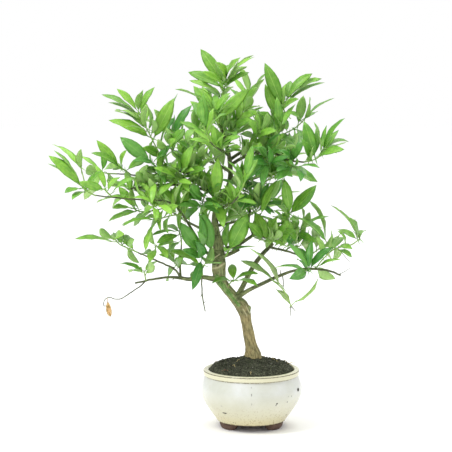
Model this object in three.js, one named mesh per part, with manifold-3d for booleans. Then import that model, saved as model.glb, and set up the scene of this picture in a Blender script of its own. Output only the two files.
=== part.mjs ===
// A limequat bonsai: a citrus tree with a leaning trunk, in soil in a round glazed pot on three feet.
// Millimetres, +Z up, the viewer on the -Y side. The origin is on the table, under the middle of the
// whole plant.
import * as THREE from "three";
import { mergeVertices } from "three/addons/utils/BufferGeometryUtils.js";
import Module from "manifold-3d";

const wasm = await Module();
wasm.setup();

// Pot: a bulging bowl with a rolled lip, a drain hole and three feet.
const pot = {
  height: 103.5,
  footHeight: 12,
  lipRadius: 85,
  lipHeight: 11,
  bulgeRadius: 90,
  bulgeHeight: 71,
  baseRadius: 60,
  swell: 1.06,
  stations: [0, 0.25, 0.5, 0.75, 1],
  mouthRadius: 75,
  floor: 9,
  drainRadius: 8,
  sides: 32,
};
const feet = { count: 3, ring: 45, halfLength: 22, halfDepth: 12, sunk: 2, corners: 10, square: 0.5 };

// Soil: filled to just under the lip and domed up to the trunk.
const soil = { belowLip: 2.6, dome: 13, domeRadius: 76, fall: 8, rings: [14, 26, 38, 54, 64, 70] };
const mound = { height: 9.5, width: 28 }; // of the soil, round the trunk
const screen = { radius: 19, thick: 1.2, bar: 3, hole: 4.4, across: 3, sides: 16 };
const gap = 0.35; // between pieces that touch

// Leaf: a folded, arched blade on a short stalk.
const leaf = {
  length: 60,
  spread: 0.15,
  slimness: 0.31,
  thick: 0.9,
  stalk: 0.1,
  sunk: 0.55,
  stalkEnd: 3.7,
  stalkRadius: 0.95,
  fold: 0.3,
  bow: 0.075,
  apart: 3,
  stations: [0.38, 0.68],
};

// The plant is drawn as it looks from the front: steps across, steps down, and depth behind the pot's
// axis in mm.
const view = {
  distance: 4000,
  tilt: (7.5 * Math.PI) / 180,
  step: 1.75,
  middle: 226,
  aimX: -44.7,
  aimZ: 356.7,
};
const roundness = 1.25; // the crown's depth, as a share of the depths given below

// The point behind a place in the front view, at a depth in mm.
function along([across, down], y) {
  const right = (across - view.middle) * view.step;
  const up = (view.middle - down) * view.step;
  const sin = Math.sin(view.tilt);
  const cos = Math.cos(view.tilt);
  const eyeY = -view.distance * cos;
  const eyeZ = view.aimZ + view.distance * sin;
  const share = (y - eyeY) / (view.distance * cos + up * sin);
  return new THREE.Vector3(view.aimX + right * share, y, eyeZ + (up * cos - view.distance * sin) * share);
}
const place = ([across, down, depth]) => along([across, down], depth * roundness);

// Wood: [across, down, depth, radius in mm] along each bough, which starts on the bough named by "on".
const wood = {
  trunk: {
    sides: 9,
    line: [
      [252.6, 384, 2, 8.5], [252.6, 369, 1, 12.5], [252.8, 358.5, 0, 16.2], [252.6, 353.5, 0, 14.2],
      [251.3, 346, 0, 10.2], [249.2, 337, 0, 9.6], [246.6, 323, 0, 9], [245, 314, 0, 9.8],
      [241.6, 306, 0, 11.6], [237, 300.5, 0, 9.8], [231.3, 294, 0, 8.3], [225.2, 286.5, 0, 8.2],
      [220.2, 279, 0, 9.8], [218.9, 270.5, 0, 11.7], [218.9, 262, 0, 11.8], [218.6, 252, 2, 10.4],
      [218, 241, 4, 8], [215.6, 230, 5, 5.6], [215, 220, 5, 5.4], [216.2, 211, 5, 5.4],
      [219.5, 202, 6, 5], [225, 194, 8, 4.8], [229, 186, 10, 4.7], [230.5, 176, 12, 4.3],
      [230, 164, 12, 3.8], [228, 150, 10, 3.2], [224, 136, 6, 2.6], [219, 123, 2, 2],
    ],
  },
  knob: {
    on: "trunk",
    sides: 6,
    line: [[243, 309, 0, 7.5], [246.9, 309.2, -1, 8.4], [250.3, 309.8, -1, 5.4]],
  },
  rightSteep: {
    on: "trunk",
    sides: 5,
    line: [
      [238, 297, 0, 4.8], [243, 286, 6, 4.3], [249, 274, 14, 4], [256, 262.5, 22, 3.8],
      [263, 253.5, 28, 3.6], [273, 243.5, 34, 2.8],
    ],
  },
  rightSpur: {
    on: "rightSteep",
    line: [
      [270, 247.5, 32, 2.3], [275, 248.5, 33, 2.1], [286, 251, 38, 1.8], [297, 254.5, 44, 1.5],
      [306, 260, 48, 1.3],
    ],
  },
  rightLow: {
    on: "trunk",
    sides: 5,
    line: [
      [238, 296.5, 0, 4], [249, 290, -8, 3.5], [262, 283.8, -18, 3.2], [272, 279, -26, 3],
      [282, 274.8, -34, 2.7], [292, 271.2, -42, 2.4], [305, 268.7, -50, 2.1], [317, 269, -56, 1.9],
      [330, 271.2, -60, 1.7], [341, 275.5, -62, 1.5],
    ],
  },
  leftLow: {
    on: "trunk",
    sides: 5,
    line: [
      [219, 281, 0, 4.6], [211, 278.5, -4, 4.2], [203, 277.2, -10, 3.8], [190, 279.2, -20, 3.5],
      [181, 278, -26, 3.1], [170, 277.2, -32, 2.2], [158, 278.4, -36, 1.9], [145, 281, -40, 1.7],
      [135, 283, -42, 1.5],
    ],
  },
  leftRiser: {
    on: "leftLow",
    line: [[180.5, 278, -26, 2], [180.2, 268, -24, 1.8], [181, 256, -20, 1.5], [181.6, 244, -16, 1.2]],
  },
  leftReach: {
    on: "leftLow",
    line: [
      [181, 277, -26, 2], [176, 270.5, -36, 1.7], [166, 264.8, -46, 1.6], [152, 258.6, -56, 1.4],
      [138, 252.6, -64, 1.2],
    ],
  },
  hangingTwig: {
    on: "leftLow",
    line: [
      [201.6, 278, -11, 1.3], [202, 288, -13, 1.1], [202.4, 297, -14, 1.2], [203.8, 305, -14, 1],
      [205, 311.5, -13, 0.9],
    ],
  },
  curledTwig: {
    on: "leftLow",
    line: [
      [146, 281, -40, 1.2], [139, 287, -42, 1], [129, 294, -44, 1], [121, 298.6, -45, 0.9],
      [115, 299.2, -45, 0.8], [109.5, 297.2, -44, 0.8], [105, 299.4, -42, 0.7], [103.4, 303, -40, 0.7],
      [104.4, 306.2, -38, 0.7], [107.6, 305, -37, 0.7],
    ],
  },
  cutStub: {
    on: "trunk",
    sides: 6,
    line: [[219, 258, 0, 3.6], [229, 254.2, -6, 3.3], [239, 249.4, -12, 3]],
  },
  rightMid: {
    on: "trunk",
    sides: 5,
    line: [
      [219, 251, 2, 4.2], [228, 248, 10, 3.7], [236, 245.5, 16, 3.4], [243, 242, 22, 3.1],
      [254, 234.5, 32, 2.6],
    ],
  },
  rightMidUp: {
    on: "rightMid",
    line: [
      [253, 235, 31, 2.1], [249, 222, 26, 1.9], [251, 208, 22, 1.7], [256, 195, 18, 1.5],
      [262, 183, 12, 1.3],
    ],
  },
  rightMidOut: {
    on: "rightMid",
    line: [[253.5, 234.8, 32, 1.8], [263, 237, 42, 1.6], [275, 240, 52, 1.4], [290, 238.5, 64, 1.2]],
  },
  leftMid: {
    on: "trunk",
    line: [
      [218.5, 261, 0, 3.4], [212, 256.8, -7, 3], [205, 250.5, -16, 2.7], [197, 238, -28, 2.4],
      [186, 220, -44, 2.1], [175, 204, -56, 1.8],
    ],
  },
  leftFar: {
    on: "leftMid",
    line: [
      [176, 205, -55, 1.6], [163, 200.8, -64, 1.5], [146, 199.8, -72, 1.4], [128, 199, -78, 1.3],
      [110, 197, -82, 1.2], [94, 195.6, -84, 1],
    ],
  },
  leftHigh: {
    on: "trunk",
    line: [
      [223, 197, 7, 3], [212, 192, -2, 2.7], [200, 188.5, -12, 2.5], [184, 186, -26, 2.2],
      [165, 184.6, -40, 1.9], [148, 186.2, -50, 1.6], [130, 188.6, -58, 1.3],
    ],
  },
  leftTop: {
    on: "trunk",
    line: [
      [219.5, 202, 6, 3], [212, 194.5, 4, 2.7], [203, 185, 2, 2.4], [192, 175.6, 0, 2.1],
      [180, 171.4, -3, 1.9], [168, 170.6, -6, 1.7],
    ],
  },
  leftTip: {
    on: "leftTop",
    line: [
      [169, 170.7, -6, 1.6], [158, 174, -10, 1.4], [144, 176.4, -16, 1.3], [130, 174.6, -22, 1.2],
      [116, 173.8, -28, 1],
    ],
  },
  rightHigh: {
    on: "trunk",
    line: [
      [230, 165, 12, 3.2], [240, 159, 2, 2.8], [252, 154, -8, 2.5], [264, 152, -16, 2.2],
      [276, 154, -22, 1.9], [290, 160.5, -28, 1.7], [304, 162, -34, 1.4],
    ],
  },
  rightTop: {
    on: "trunk",
    line: [
      [229.4, 160, 11, 3], [240, 153, 22, 2.7], [252, 149, 30, 2.4], [263, 148, 34, 2.1],
      [270, 140, 34, 1.9], [275, 128, 32, 1.6],
    ],
  },
  backHigh: {
    on: "trunk",
    line: [[227, 145, 9, 2.8], [232, 138, 34, 2.3], [238, 130, 62, 1.8], [243, 121, 86, 1.4]],
  },
  backLeft: {
    on: "trunk",
    line: [[230, 172, 12, 3], [218, 165, 36, 2.5], [202, 158, 66, 2], [188, 150, 91, 1.5]],
  },
  backRight: {
    on: "trunk",
    line: [[229.6, 183, 10, 3], [242, 181, 37, 2.5], [256, 178, 67, 2], [270, 172, 93, 1.5]],
  },
  backLow: {
    on: "trunk",
    line: [[215.4, 226, 5, 3], [226, 224, 34, 2.5], [240, 220, 66, 2], [252, 214, 93, 1.5]],
  },
  backLowLeft: {
    on: "trunk",
    line: [[216.6, 236, 5, 3], [204, 230, 34, 2.5], [188, 222, 66, 2], [172, 212, 91, 1.5]],
  },
  frontHigh: {
    on: "trunk",
    line: [[229, 156, 11, 2.6], [224, 152, -24, 2.1], [217, 148, -58, 1.7], [210, 142, -86, 1.3]],
  },
  frontMid: {
    on: "trunk",
    line: [[217, 209, 5, 2.8], [224, 207, -26, 2.3], [232, 203, -58, 1.8], [238, 197, -86, 1.4]],
  },
};

// Leafy stems. Each leaf is [place along the stem, tip across, tip down, breadth], where breadth is the
// share of its width that the viewer sees, and over 1 for a broad leaf. "more" adds leaves in a spiral,
// the last of them at the tip.
const stems = {
  apex: {
    tone: "young",
    on: "trunk",
    line: [[219, 123, 2], [220.5, 112, 4], [222.5, 100, 6], [224.5, 88, 8], [226, 78, 8]],
    leaves: [
      [0.92, 200.5, 49, 1], [1, 215, 61, 0.8], [1, 231, 64, 0.6], [1, 238.5, 57, 0.6],
      [0.96, 254, 55, 0.35], [0.86, 247, 66, 0.7], [0.8, 249, 72, 0.4], [0.84, 188, 72.5, 0.8],
      [0.88, 201.5, 71.5, 0.7], [0.58, 189, 81, 0.7], [0.5, 204, 87, 0.8], [0.62, 226, 74, 0.6],
      [0.4, 233, 86, 0.5],
    ],
  },
  apexFront: {
    on: "trunk",
    more: 1,
    line: [[221.5, 130, 4], [218, 125, -12], [216, 119, -22], [214.5, 111, -28]],
    leaves: [
      [0.9, 196.5, 89, 1], [0.55, 190, 101, 1], [1, 175, 88.5, 0.25], [1, 231, 93, 0.7],
      [0.6, 249, 88.5, 1], [1, 217, 94, 0.9], [0.4, 206, 100, 0.8],
    ],
  },
  apexRight: {
    on: "trunk",
    more: 3,
    line: [[225, 140, 7], [232, 131, 4], [239, 121, 0], [243, 110, -4]],
    leaves: [
      [1, 251, 96, 0.9], [0.8, 258.5, 78, 0.35], [0.6, 258, 111.5, 0.8], [0.4, 251, 119, 0.8],
      [0.9, 236, 91, 0.6], [0.3, 243, 132, 0.6],
    ],
  },
  topRight: {
    tone: "young",
    on: "rightTop",
    more: 2,
    line: [[274.6, 129, 32], [281, 114, 28], [286.5, 100, 26]],
    leaves: [
      [0.7, 264.8, 62.8, 1], [0.3, 265, 84, 1], [1, 291, 80, 1], [1, 312, 73, 0.7],
      [0.93, 321, 78.5, 0.7], [0.62, 299, 99, 0.6], [0.4, 290, 118, 0.7], [0.1, 258, 113, 0.9],
    ],
  },
  topRightOut: {
    on: "rightTop",
    more: 1,
    line: [[269.8, 140.5, 34], [279, 136, 30], [289, 131.5, 26], [297, 126.5, 22], [304, 120, 18]],
    leaves: [
      [1, 335, 98, 0.2], [0.78, 303.5, 95.5, 1.1], [0.9, 288, 113, 0.6], [0.72, 299, 148, 0.6],
      [0.45, 281, 120, 0.9], [0.5, 287, 150, 0.7], [0.6, 301, 137, 0.5],
    ],
  },
  rightEnd: {
    on: "rightHigh",
    more: 1,
    line: [[303, 162, -34], [311, 160.8, -37], [319, 157, -40], [324, 150, -42]],
    leaves: [
      [0.55, 304, 121, 1.2], [0.95, 313, 122, 0.6], [1, 327, 125, 0.7], [1, 345, 118, 0.4],
      [1, 339, 130, 0.8], [0.8, 351, 139, 0.35], [0.7, 348, 145, 0.4], [0.6, 337, 152, 0.25],
      [0.35, 302, 139, 0.9],
    ],
  },
  rightUnder: {
    tone: "old",
    on: "rightHigh",
    more: 2,
    line: [[288, 159.6, -27], [291, 165, -36], [296, 168, -44]],
    leaves: [[1, 320, 167, 0.25], [0.8, 276, 172, 0.5], [1, 308, 177.5, 0.55], [0.5, 279, 150, 0.8]],
  },
  rightInner: {
    tone: "old",
    on: "rightHigh",
    more: 4,
    line: [[262, 152, -15], [266, 158, -32], [269, 165, -46]],
    leaves: [
      [1, 268, 146, 0.8], [0.9, 285, 167, 0.6], [0.7, 250, 168, 0.9], [1, 262, 186, 0.9],
      [0.5, 256, 148, 0.7],
    ],
  },
  rightCrown: {
    on: "rightHigh",
    more: 1,
    line: [[250, 154.6, -7], [254, 143, -16], [259, 132, -24]],
    leaves: [
      [1, 268, 113, 0.8], [0.9, 247, 116, 0.8], [0.7, 276, 130, 0.7], [0.6, 240, 134, 0.7],
      [0.4, 262, 150, 0.8], [1, 257, 108, 0.5],
    ],
  },
  rightFront: {
    on: "rightTop",
    line: [[260, 148.2, 34], [268, 142, 14], [275, 135, -4], [281, 129, -18]],
    leaves: [
      [1, 296, 104, 0.7], [0.9, 277, 97, 0.9], [0.75, 262, 118, 0.8], [0.6, 297, 146, 0.7],
      [0.4, 257, 133, 0.7],
    ],
  },
  archRight: {
    tone: "young",
    on: "rightMidUp",
    more: 2,
    line: [[261, 185, 12], [268, 180, -4], [276, 177, -16], [284, 175.5, -24]],
    leaves: [
      [1, 290, 212, 1.1], [0.85, 262, 213, 0.6], [0.9, 279, 210, 0.35], [0.6, 303, 174, 0.6],
      [0.5, 252, 170, 0.7],
    ],
  },
  rightMiddle: {
    on: "rightMidOut",
    more: 1,
    line: [[281, 239.3, 56], [285, 228, 30], [289, 215, 12]],
    leaves: [
      [1, 316.5, 185, 1.1], [0.95, 284, 242, 1.1], [0.7, 273, 216, 0.7], [0.8, 298, 222, 0.8],
      [1, 272, 198, 0.8], [0.5, 296, 240, 0.8],
    ],
  },
  rightFan: {
    on: "rightMidOut",
    line: [[289, 238.6, 63], [296, 233, 54], [302, 228, 46]],
    leaves: [
      [1, 329, 215.5, 0.35], [0.9, 323, 228, 0.5], [1, 310, 213, 0.9], [0.85, 289.5, 243.5, 0.7],
      [0.7, 317, 242, 1], [1, 302, 206, 0.4],
    ],
  },
  rightStem: {
    tone: "young",
    on: "rightMid",
    line: [[252, 236, 31], [259, 239, 6], [267, 241, -14], [273, 242, -26]],
    leaves: [[1, 281, 231, 1], [0.75, 255, 212.5, 1.3], [0.9, 288, 248, 0.5], [0.5, 247, 222, 0.9]],
  },
  rightRise: {
    tone: "old",
    on: "rightMidUp",
    more: 3,
    line: [[250, 214, 24], [257, 209, 8], [261, 203, -6]],
    leaves: [
      [1, 269, 189, 0.5], [0.9, 242, 210, 0.6], [0.8, 259, 182, 0.8], [0.6, 275, 214, 0.7],
      [1, 272, 199, 0.6],
    ],
  },
  upperRight: {
    tone: "old",
    on: "rightMidUp",
    more: 3,
    line: [[255, 197, 18], [247, 192, 6], [240, 190, -8]],
    leaves: [[1, 228, 200, 0.8], [0.7, 262, 183, 0.7], [0.8, 240, 170, 0.8], [1, 243, 215, 0.8]],
  },
  lowCluster: {
    tone: "old",
    on: "rightLow",
    line: [[303, 268.8, -50], [306.5, 270.5, -62], [310, 271.5, -72]],
    leaves: [
      [1, 288.5, 244, 0.55], [0.7, 297, 258.5, 0.6], [0.8, 273.5, 267.5, 0.4], [0.6, 289, 279, 1],
      [1, 312, 240, 0.9], [1, 332.5, 246, 0.7],
    ],
  },
  lowTip: {
    tone: "young",
    on: "rightLow",
    line: [[316, 269, -56], [319, 264, -44], [324, 258, -34], [333, 250, -26], [345, 246, -20]],
    leaves: [
      [0.1, 341, 260, 0.4], [0.1, 335, 279, 0.9], [0.45, 316, 236, 0.7], [0.55, 331, 229.5, 0.3],
      [0.7, 346, 240, 1.2], [0.85, 333, 260, 0.9], [1, 338, 231, 0.4], [0.75, 352, 257, 0.4],
    ],
    sides: [
      {
        line: [[345, 246, -20], [352, 244.5, -20], [357, 241, -22], [360, 239, -24]],
        leaves: [
          [0.9, 331, 204.5, 0.35], [0.8, 336.5, 229, 0.8], [1, 365, 230.5, 0.5], [0.75, 349, 217, 0.4],
        ],
      },
    ],
  },
  greyLeaf: {
    tone: "old",
    on: "rightSpur",
    line: [[304, 258.8, 47], [312, 254, 54], [320, 248, 58], [326, 244, 60]],
    leaves: [
      [1, 307, 203, 0.55], [0.5, 313, 228, 0.9], [0.8, 341, 232, 0.5], [0.3, 302, 243, 0.8],
      [0.6, 332, 262, 0.5],
    ],
  },
  spurStem: {
    tone: "old",
    on: "rightSpur",
    line: [[285, 250.8, 38], [291, 247, 50], [299, 246, 62]],
    leaves: [[1, 318, 236, 0.8], [0.7, 280, 232, 0.7], [0.8, 309, 262, 0.8], [1, 296, 226, 0.6]],
  },
  droopingStem: {
    on: "rightLow",
    line: [[271, 279.5, -26], [278, 284.5, -36], [284, 291, -44], [288.5, 299, -50], [291, 306.5, -54]],
    leaves: [[0.36, 249, 247, 0.4], [0.26, 240, 261, 0.3], [1, 274, 288, 0.7], [1, 320, 278, 0.18]],
  },
  trunkSprig: {
    tone: "young",
    on: "trunk",
    line: [[227, 288.5, 0], [230.5, 282.5, -11], [234, 281, -18]],
    leaves: [[1, 231.5, 264, 1.2], [0.9, 258.5, 273, 0.4], [1, 258, 285, 0.3], [0.8, 212, 283, 0.5]],
  },
  bigLeafStem: {
    on: "rightMid",
    more: 2,
    line: [[227, 248.2, 9], [226, 251, -14], [228, 252, -30]],
    leaves: [[1, 248, 214, 1.5], [0.9, 257, 247, 0.35]],
  },
  darkPair: {
    tone: "old",
    on: "leftHigh",
    more: 2,
    line: [[207, 190.5, -6], [204, 198, -24], [201, 208, -40]],
    leaves: [
      [1, 211.5, 250, 1.25], [0.95, 181, 220, 0.9], [0.7, 189, 186, 0.5], [0.8, 222, 208, 0.6],
      [0.4, 184, 188, 0.25],
    ],
  },
  trunkLeft: {
    tone: "old",
    on: "leftMid",
    more: 2,
    line: [[198, 239.6, -27], [200, 250, -40], [202, 259, -50]],
    leaves: [
      [0.9, 180, 222, 1.3], [1, 182, 249, 0.9], [0.8, 195, 208, 1.1], [1, 196, 242, 0.9],
      [1, 222, 262, 0.3],
    ],
  },
  trunkFront: {
    on: "trunk",
    more: 3,
    line: [[218.9, 200, 6], [217, 203, -16], [215.6, 200, -34]],
    leaves: [
      [1, 218, 158, 1.1], [0.9, 254.5, 191, 0.7], [0.8, 239, 216, 0.5], [0.9, 198, 216, 0.8],
      [1, 200, 170, 0.8],
    ],
  },
  leftCentre: {
    on: "leftTop",
    more: 2,
    line: [[197, 179.8, 1], [191, 176, -18], [184, 176, -36], [177, 181, -50]],
    leaves: [
      [0.9, 168, 171, 1.5], [0.7, 193, 145, 0.8], [1, 174, 214, 0.8], [0.5, 205, 168, 0.8],
      [0.6, 190, 200, 0.7],
    ],
  },
  leftRise: {
    on: "leftTop",
    more: 2,
    line: [[188, 173.8, -1], [181, 163, -10], [174, 154, -20], [170, 147, -28]],
    leaves: [
      [1, 185, 128.5, 1], [1, 157, 141, 0.9], [0.9, 188, 162, 0.4], [0.7, 177, 131, 0.8],
      [0.8, 164, 124, 0.6], [0.5, 176, 168, 0.6], [0.4, 195, 146, 0.9], [0.25, 172, 150, 0.9],
    ],
  },
  leftRiseTop: {
    on: "leftTop",
    more: 1,
    line: [[200, 182.4, 2], [196, 168, -4], [191, 153, -8], [184, 141, -10]],
    leaves: [
      [0.92, 191, 105, 0.9], [0.85, 194, 129, 0.8], [0.7, 209, 133, 0.4], [0.6, 178, 141, 0.5],
      [0.5, 204, 146, 0.9], [0.35, 186, 150, 0.6], [0.2, 209, 158, 0.8],
    ],
  },
  leftCrown: {
    tone: "young",
    on: "leftTop",
    more: 3,
    line: [
      [168.6, 170.6, -6], [163, 160, -8], [157, 149, -12], [152, 139, -16], [147, 129, -20],
      [142.5, 120, -22], [138, 112, -24],
    ],
    leaves: [
      [1, 116.5, 89, 0.7], [0.95, 154, 86.5, 0.8], [0.72, 141, 98, 0.9], [0.92, 104, 98, 0.25],
      [0.8, 114.5, 110, 0.5], [0.5, 109, 119, 0.8], [0.48, 174, 98, 1.1], [0.62, 147, 106, 0.3],
      [0.55, 153, 119, 0.8], [0.2, 142, 147.5, 0.8],
    ],
  },
  leftDark: {
    tone: "old",
    on: "leftTip",
    more: 2,
    line: [[160, 173.4, -9], [156, 168, -26], [152, 163, -40]],
    leaves: [[1, 120, 137, 1.2], [0.9, 153, 141, 0.6], [0.7, 165, 186, 0.7], [1, 134, 160, 0.7]],
  },
  leftBright: {
    tone: "young",
    on: "leftTip",
    line: [[131, 174.7, -22], [126, 171, -34], [120, 168, -44]],
    leaves: [
      [1, 96.5, 140, 1], [0.9, 127, 150, 0.5], [0.8, 110, 164, 0.9], [0.6, 129, 191, 0.8],
      [0.5, 145, 160, 0.9], [1, 105, 169, 0.7],
    ],
  },
  leftTipEnd: {
    on: "leftTip",
    line: [[117, 173.8, -28], [108, 173.4, -36], [100, 172, -42]],
    leaves: [
      [1, 76.5, 154.5, 0.5], [1, 102.5, 150, 0.8], [0.9, 86, 169, 1], [0.7, 93, 190, 0.8],
      [0.5, 118, 186, 0.7],
    ],
  },
  farEnd: {
    on: "leftFar",
    line: [[96, 195.7, -84], [90, 193, -86], [85, 190, -88], [82, 187, -90]],
    leaves: [
      [1, 49, 155, 0.9], [0.8, 64.5, 193.5, 0.4], [0.5, 72, 200, 0.5], [0.6, 102, 171, 0.7],
    ],
    sides: [
      {
        line: [[86, 191, -87], [84, 180, -80], [81, 168, -74]],
        leaves: [[1, 52, 143.5, 0.55], [0.85, 80, 148, 0.8]],
      },
    ],
  },
  farMid: {
    on: "leftFar",
    more: 1,
    line: [[112, 197.2, -82], [108, 193, -92], [104, 189, -102]],
    leaves: [[1, 75, 178, 1], [0.9, 95, 164, 0.8], [0.6, 120, 176, 0.7], [1, 84, 199, 0.5]],
  },
  farBack: {
    on: "leftFar",
    line: [[129, 199, -78], [130, 194, -62], [133, 188, -48]],
    leaves: [
      [1, 147, 165, 1], [0.9, 129, 166, 0.7], [0.7, 106, 181, 0.35], [0.8, 146, 192, 0.6],
      [0.5, 112, 208, 0.5],
    ],
  },
  leftNear: {
    on: "leftFar",
    more: 1,
    line: [[163, 200.8, -64], [158, 205, -80], [152, 207, -94]],
    leaves: [
      [0.9, 133, 197.5, 0.9], [1, 155, 182, 0.9], [1, 156, 220, 0.7], [0.8, 143, 214, 0.8],
      [0.6, 172, 214, 0.6],
    ],
  },
  leftWing: {
    on: "leftMid",
    more: 2,
    line: [[175.6, 204.8, -56], [166, 207.6, -52], [153, 210.8, -48], [140, 211.4, -44], [133, 208, -42]],
    leaves: [
      [1, 95.5, 203, 0.6], [0.95, 126.5, 193, 0.9], [0.8, 111.5, 221, 0.7], [0.9, 112, 209, 0.3],
      [0.5, 134, 226, 0.6], [0.3, 160, 231, 0.6], [0.6, 149, 192, 0.8],
    ],
  },
  leftPale: {
    tone: "young",
    on: "leftMid",
    line: [[182, 213.8, -48], [172, 215.5, -66], [163, 217.8, -80], [156, 220, -92]],
    leaves: [
      [1, 121, 225, 0.2], [1, 146, 251, 0.45], [0.9, 144, 219, 0.4], [0.6, 178, 205, 0.6],
      [0.7, 150, 232, 0.5], [0.4, 168, 233, 0.6],
    ],
  },
  leftDroop: {
    tone: "young",
    on: "leftRiser",
    line: [[181.5, 245, -16], [181, 238, -26], [179, 231, -36]],
    leaves: [
      [1, 151, 236, 0.35], [0.8, 156.5, 243.5, 0.8], [1, 165, 226.5, 0.5], [1, 181, 206, 0.6],
      [0.6, 197, 252, 0.7], [0.3, 167, 258, 0.6],
    ],
  },
  leftRiserStem: {
    tone: "young",
    on: "leftRiser",
    line: [[180.2, 268, -24], [177, 266, -12], [175, 262, -2]],
    leaves: [
      [1, 172.5, 236, 0.7], [0.8, 157, 245, 0.5], [1, 194, 249, 0.8], [0.7, 168, 281, 0.5],
      [1, 188, 265, 0.6],
    ],
  },
  reachEnd: {
    tone: "young",
    on: "leftReach",
    line: [[139, 253, -64], [129, 248.6, -70], [120, 244.6, -74], [114.5, 239, -78]],
    leaves: [
      [1, 99.5, 229, 0.9], [0.75, 74.5, 239.5, 0.2], [0.6, 130.5, 237, 1], [0.3, 135, 239, 0.8],
      [0.4, 140, 263, 0.8], [1, 123, 234, 0.5], [0.9, 103, 237.5, 0.4],
    ],
  },
  reachMid: {
    tone: "young",
    on: "leftReach",
    line: [[153, 259, -56], [155, 252, -64], [156, 245, -70]],
    leaves: [
      [0.9, 149.5, 262.5, 0.9], [1, 168, 258, 0.7], [1, 146, 232, 0.5], [0.4, 141, 255, 0.6],
      [1, 174, 245, 0.5],
    ],
  },
  lowLeft: {
    on: "leftLow",
    line: [[146, 280.8, -40], [145, 276, -50], [144, 271, -58]],
    leaves: [[0.6, 148, 262, 1.2], [1, 118.5, 263, 0.6], [0.9, 129, 272, 0.4], [1, 160, 261, 0.5]],
  },
  lowInner: {
    on: "leftLow",
    line: [[203, 277.2, -10], [202, 270, -22], [203, 266, -34]],
    leaves: [[1, 157, 245, 0.5], [0.8, 186, 265, 0.6], [1, 212, 246, 0.5], [0.5, 192, 280, 0.5]],
  },
  backCrown: { on: "backHigh", line: [[242.4, 122, 85], [246, 110, 96], [249, 98, 104]], more: 7 },
  backCrownLeft: { on: "backHigh", line: [[235, 134, 48], [222, 122, 61], [211, 110, 70]], more: 7 },
  backShoulder: {
    tone: "old",
    on: "backLeft",
    line: [[190, 151.4, 88], [178, 142, 99], [166, 134, 109]],
    more: 8,
  },
  backShoulderUp: { on: "backLeft", line: [[205, 159, 61], [200, 144, 74], [196, 130, 85]], more: 7 },
  backWing: {
    tone: "old",
    on: "backRight",
    line: [[268, 173, 90], [282, 163, 102], [295, 152, 112]],
    more: 8,
  },
  backWingUp: { on: "backRight", line: [[255, 178.4, 64], [263, 160, 77], [270, 144, 86]], more: 7 },
  backSkirt: {
    tone: "old",
    on: "backLow",
    line: [[250, 215, 90], [263, 208, 104], [275, 200, 115]],
    more: 7,
  },
  backSkirtLeft: {
    tone: "old",
    on: "backLowLeft",
    line: [[174, 213.2, 88], [160, 204, 101], [147, 196, 110]],
    more: 8,
  },
  frontCrown: { on: "frontHigh", line: [[211, 142.8, -83], [207, 134, -98], [204, 126, -108]], more: 6 },
  frontHeart: { on: "frontMid", line: [[237, 198, -83], [242, 188, -98], [246, 178, -108]], more: 6 },
};

// The dried leaf: where its stalk and its tip are, and its width in mm.
const dried = { base: [106.6, 305.6, -37.4], tip: [110.5, 317, -34], width: 8 };

// A row of numbers from 0 to 1 that is the same every time.
const draws = { factor: 48271, limit: 2147483647, start: 1000, apart: 77 };
function dice(seed) {
  let state = seed;
  return () => {
    state = (state * draws.factor) % draws.limit;
    return state / draws.limit;
  };
}

const up = new THREE.Vector3(0, 0, 1);
const toViewer = new THREE.Vector3(0, -Math.cos(view.tilt), Math.sin(view.tilt));
const span = (a, b) => new THREE.Vector3().subVectors(b, a);
const square = (v, axis) => v.clone().addScaledVector(axis, -v.dot(axis)).normalize();
const turned = (v, axis, angle) => v.clone().applyAxisAngle(axis, angle);

const curveOf = (points) => new THREE.CatmullRomCurve3(points, false, "catmullrom", 0.5);

function nearestOn(curve, point, steps) {
  let best = curve.getPoint(0);
  for (let i = 1; i <= steps; i++) {
    const p = curve.getPoint(i / steps);
    if (p.distanceToSquared(point) < best.distanceToSquared(point)) best = p;
  }
  return best;
}

// Every bough and stem becomes a curve that starts on the middle line of what it grows from.
const grown = {};
function grow(name, line, on) {
  const points = line.map(place);
  if (on) points[0] = nearestOn(grown[on].curve, points[0], 200);
  const made = { curve: curveOf(points), points, length: curveOf(points).getLength() };
  if (name) grown[name] = made;
  return made;
}

// Room: what has grown already, kept as balls in cells, so that a new leaf can keep clear of it.
const room = { cell: 12, leafClear: 3.1, ownStem: 3.2, ballStep: 4, cells: new Map() };
const cellOf = (v) => [v.x, v.y, v.z].map((c) => Math.floor(c / room.cell));
function occupy(point, radius, owner) {
  const key = cellOf(point).join();
  if (!room.cells.has(key)) room.cells.set(key, []);
  room.cells.get(key).push({ point, radius, owner });
}
function clearAt(point, own, atFoot) {
  const [i, j, k] = cellOf(point);
  for (let a = i - 1; a <= i + 1; a++)
    for (let b = j - 1; b <= j + 1; b++)
      for (let c = k - 1; c <= k + 1; c++)
        for (const ball of room.cells.get([a, b, c].join()) ?? []) {
          if (atFoot && ball.owner === own) continue;
          const isOwnStem = ball.radius > 0 && ball.owner === own;
          const wanted = isOwnStem ? room.ownStem : room.leafClear + ball.radius;
          if (ball.point.distanceToSquared(point) < wanted * wanted) return false;
        }
  return true;
}

// A leaf from its base, tip and the way its upper face looks: a middle line and the half width along it.
function blade(base, tip, face, width) {
  const along = span(base, tip);
  const length = along.length();
  const axis = along.clone().normalize();
  const normal = square(face, axis);
  const side = new THREE.Vector3().crossVectors(axis, normal);
  const middle = (t) =>
    base.clone().addScaledVector(along, t).addScaledVector(normal, 4 * t * (1 - t) * leaf.bow * length);
  const half = (t) => (width / 2) * bladeShape((t - leaf.stalk) / (1 - leaf.stalk));
  return { base, tip, axis, normal, side, length, middle, half };
}

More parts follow.
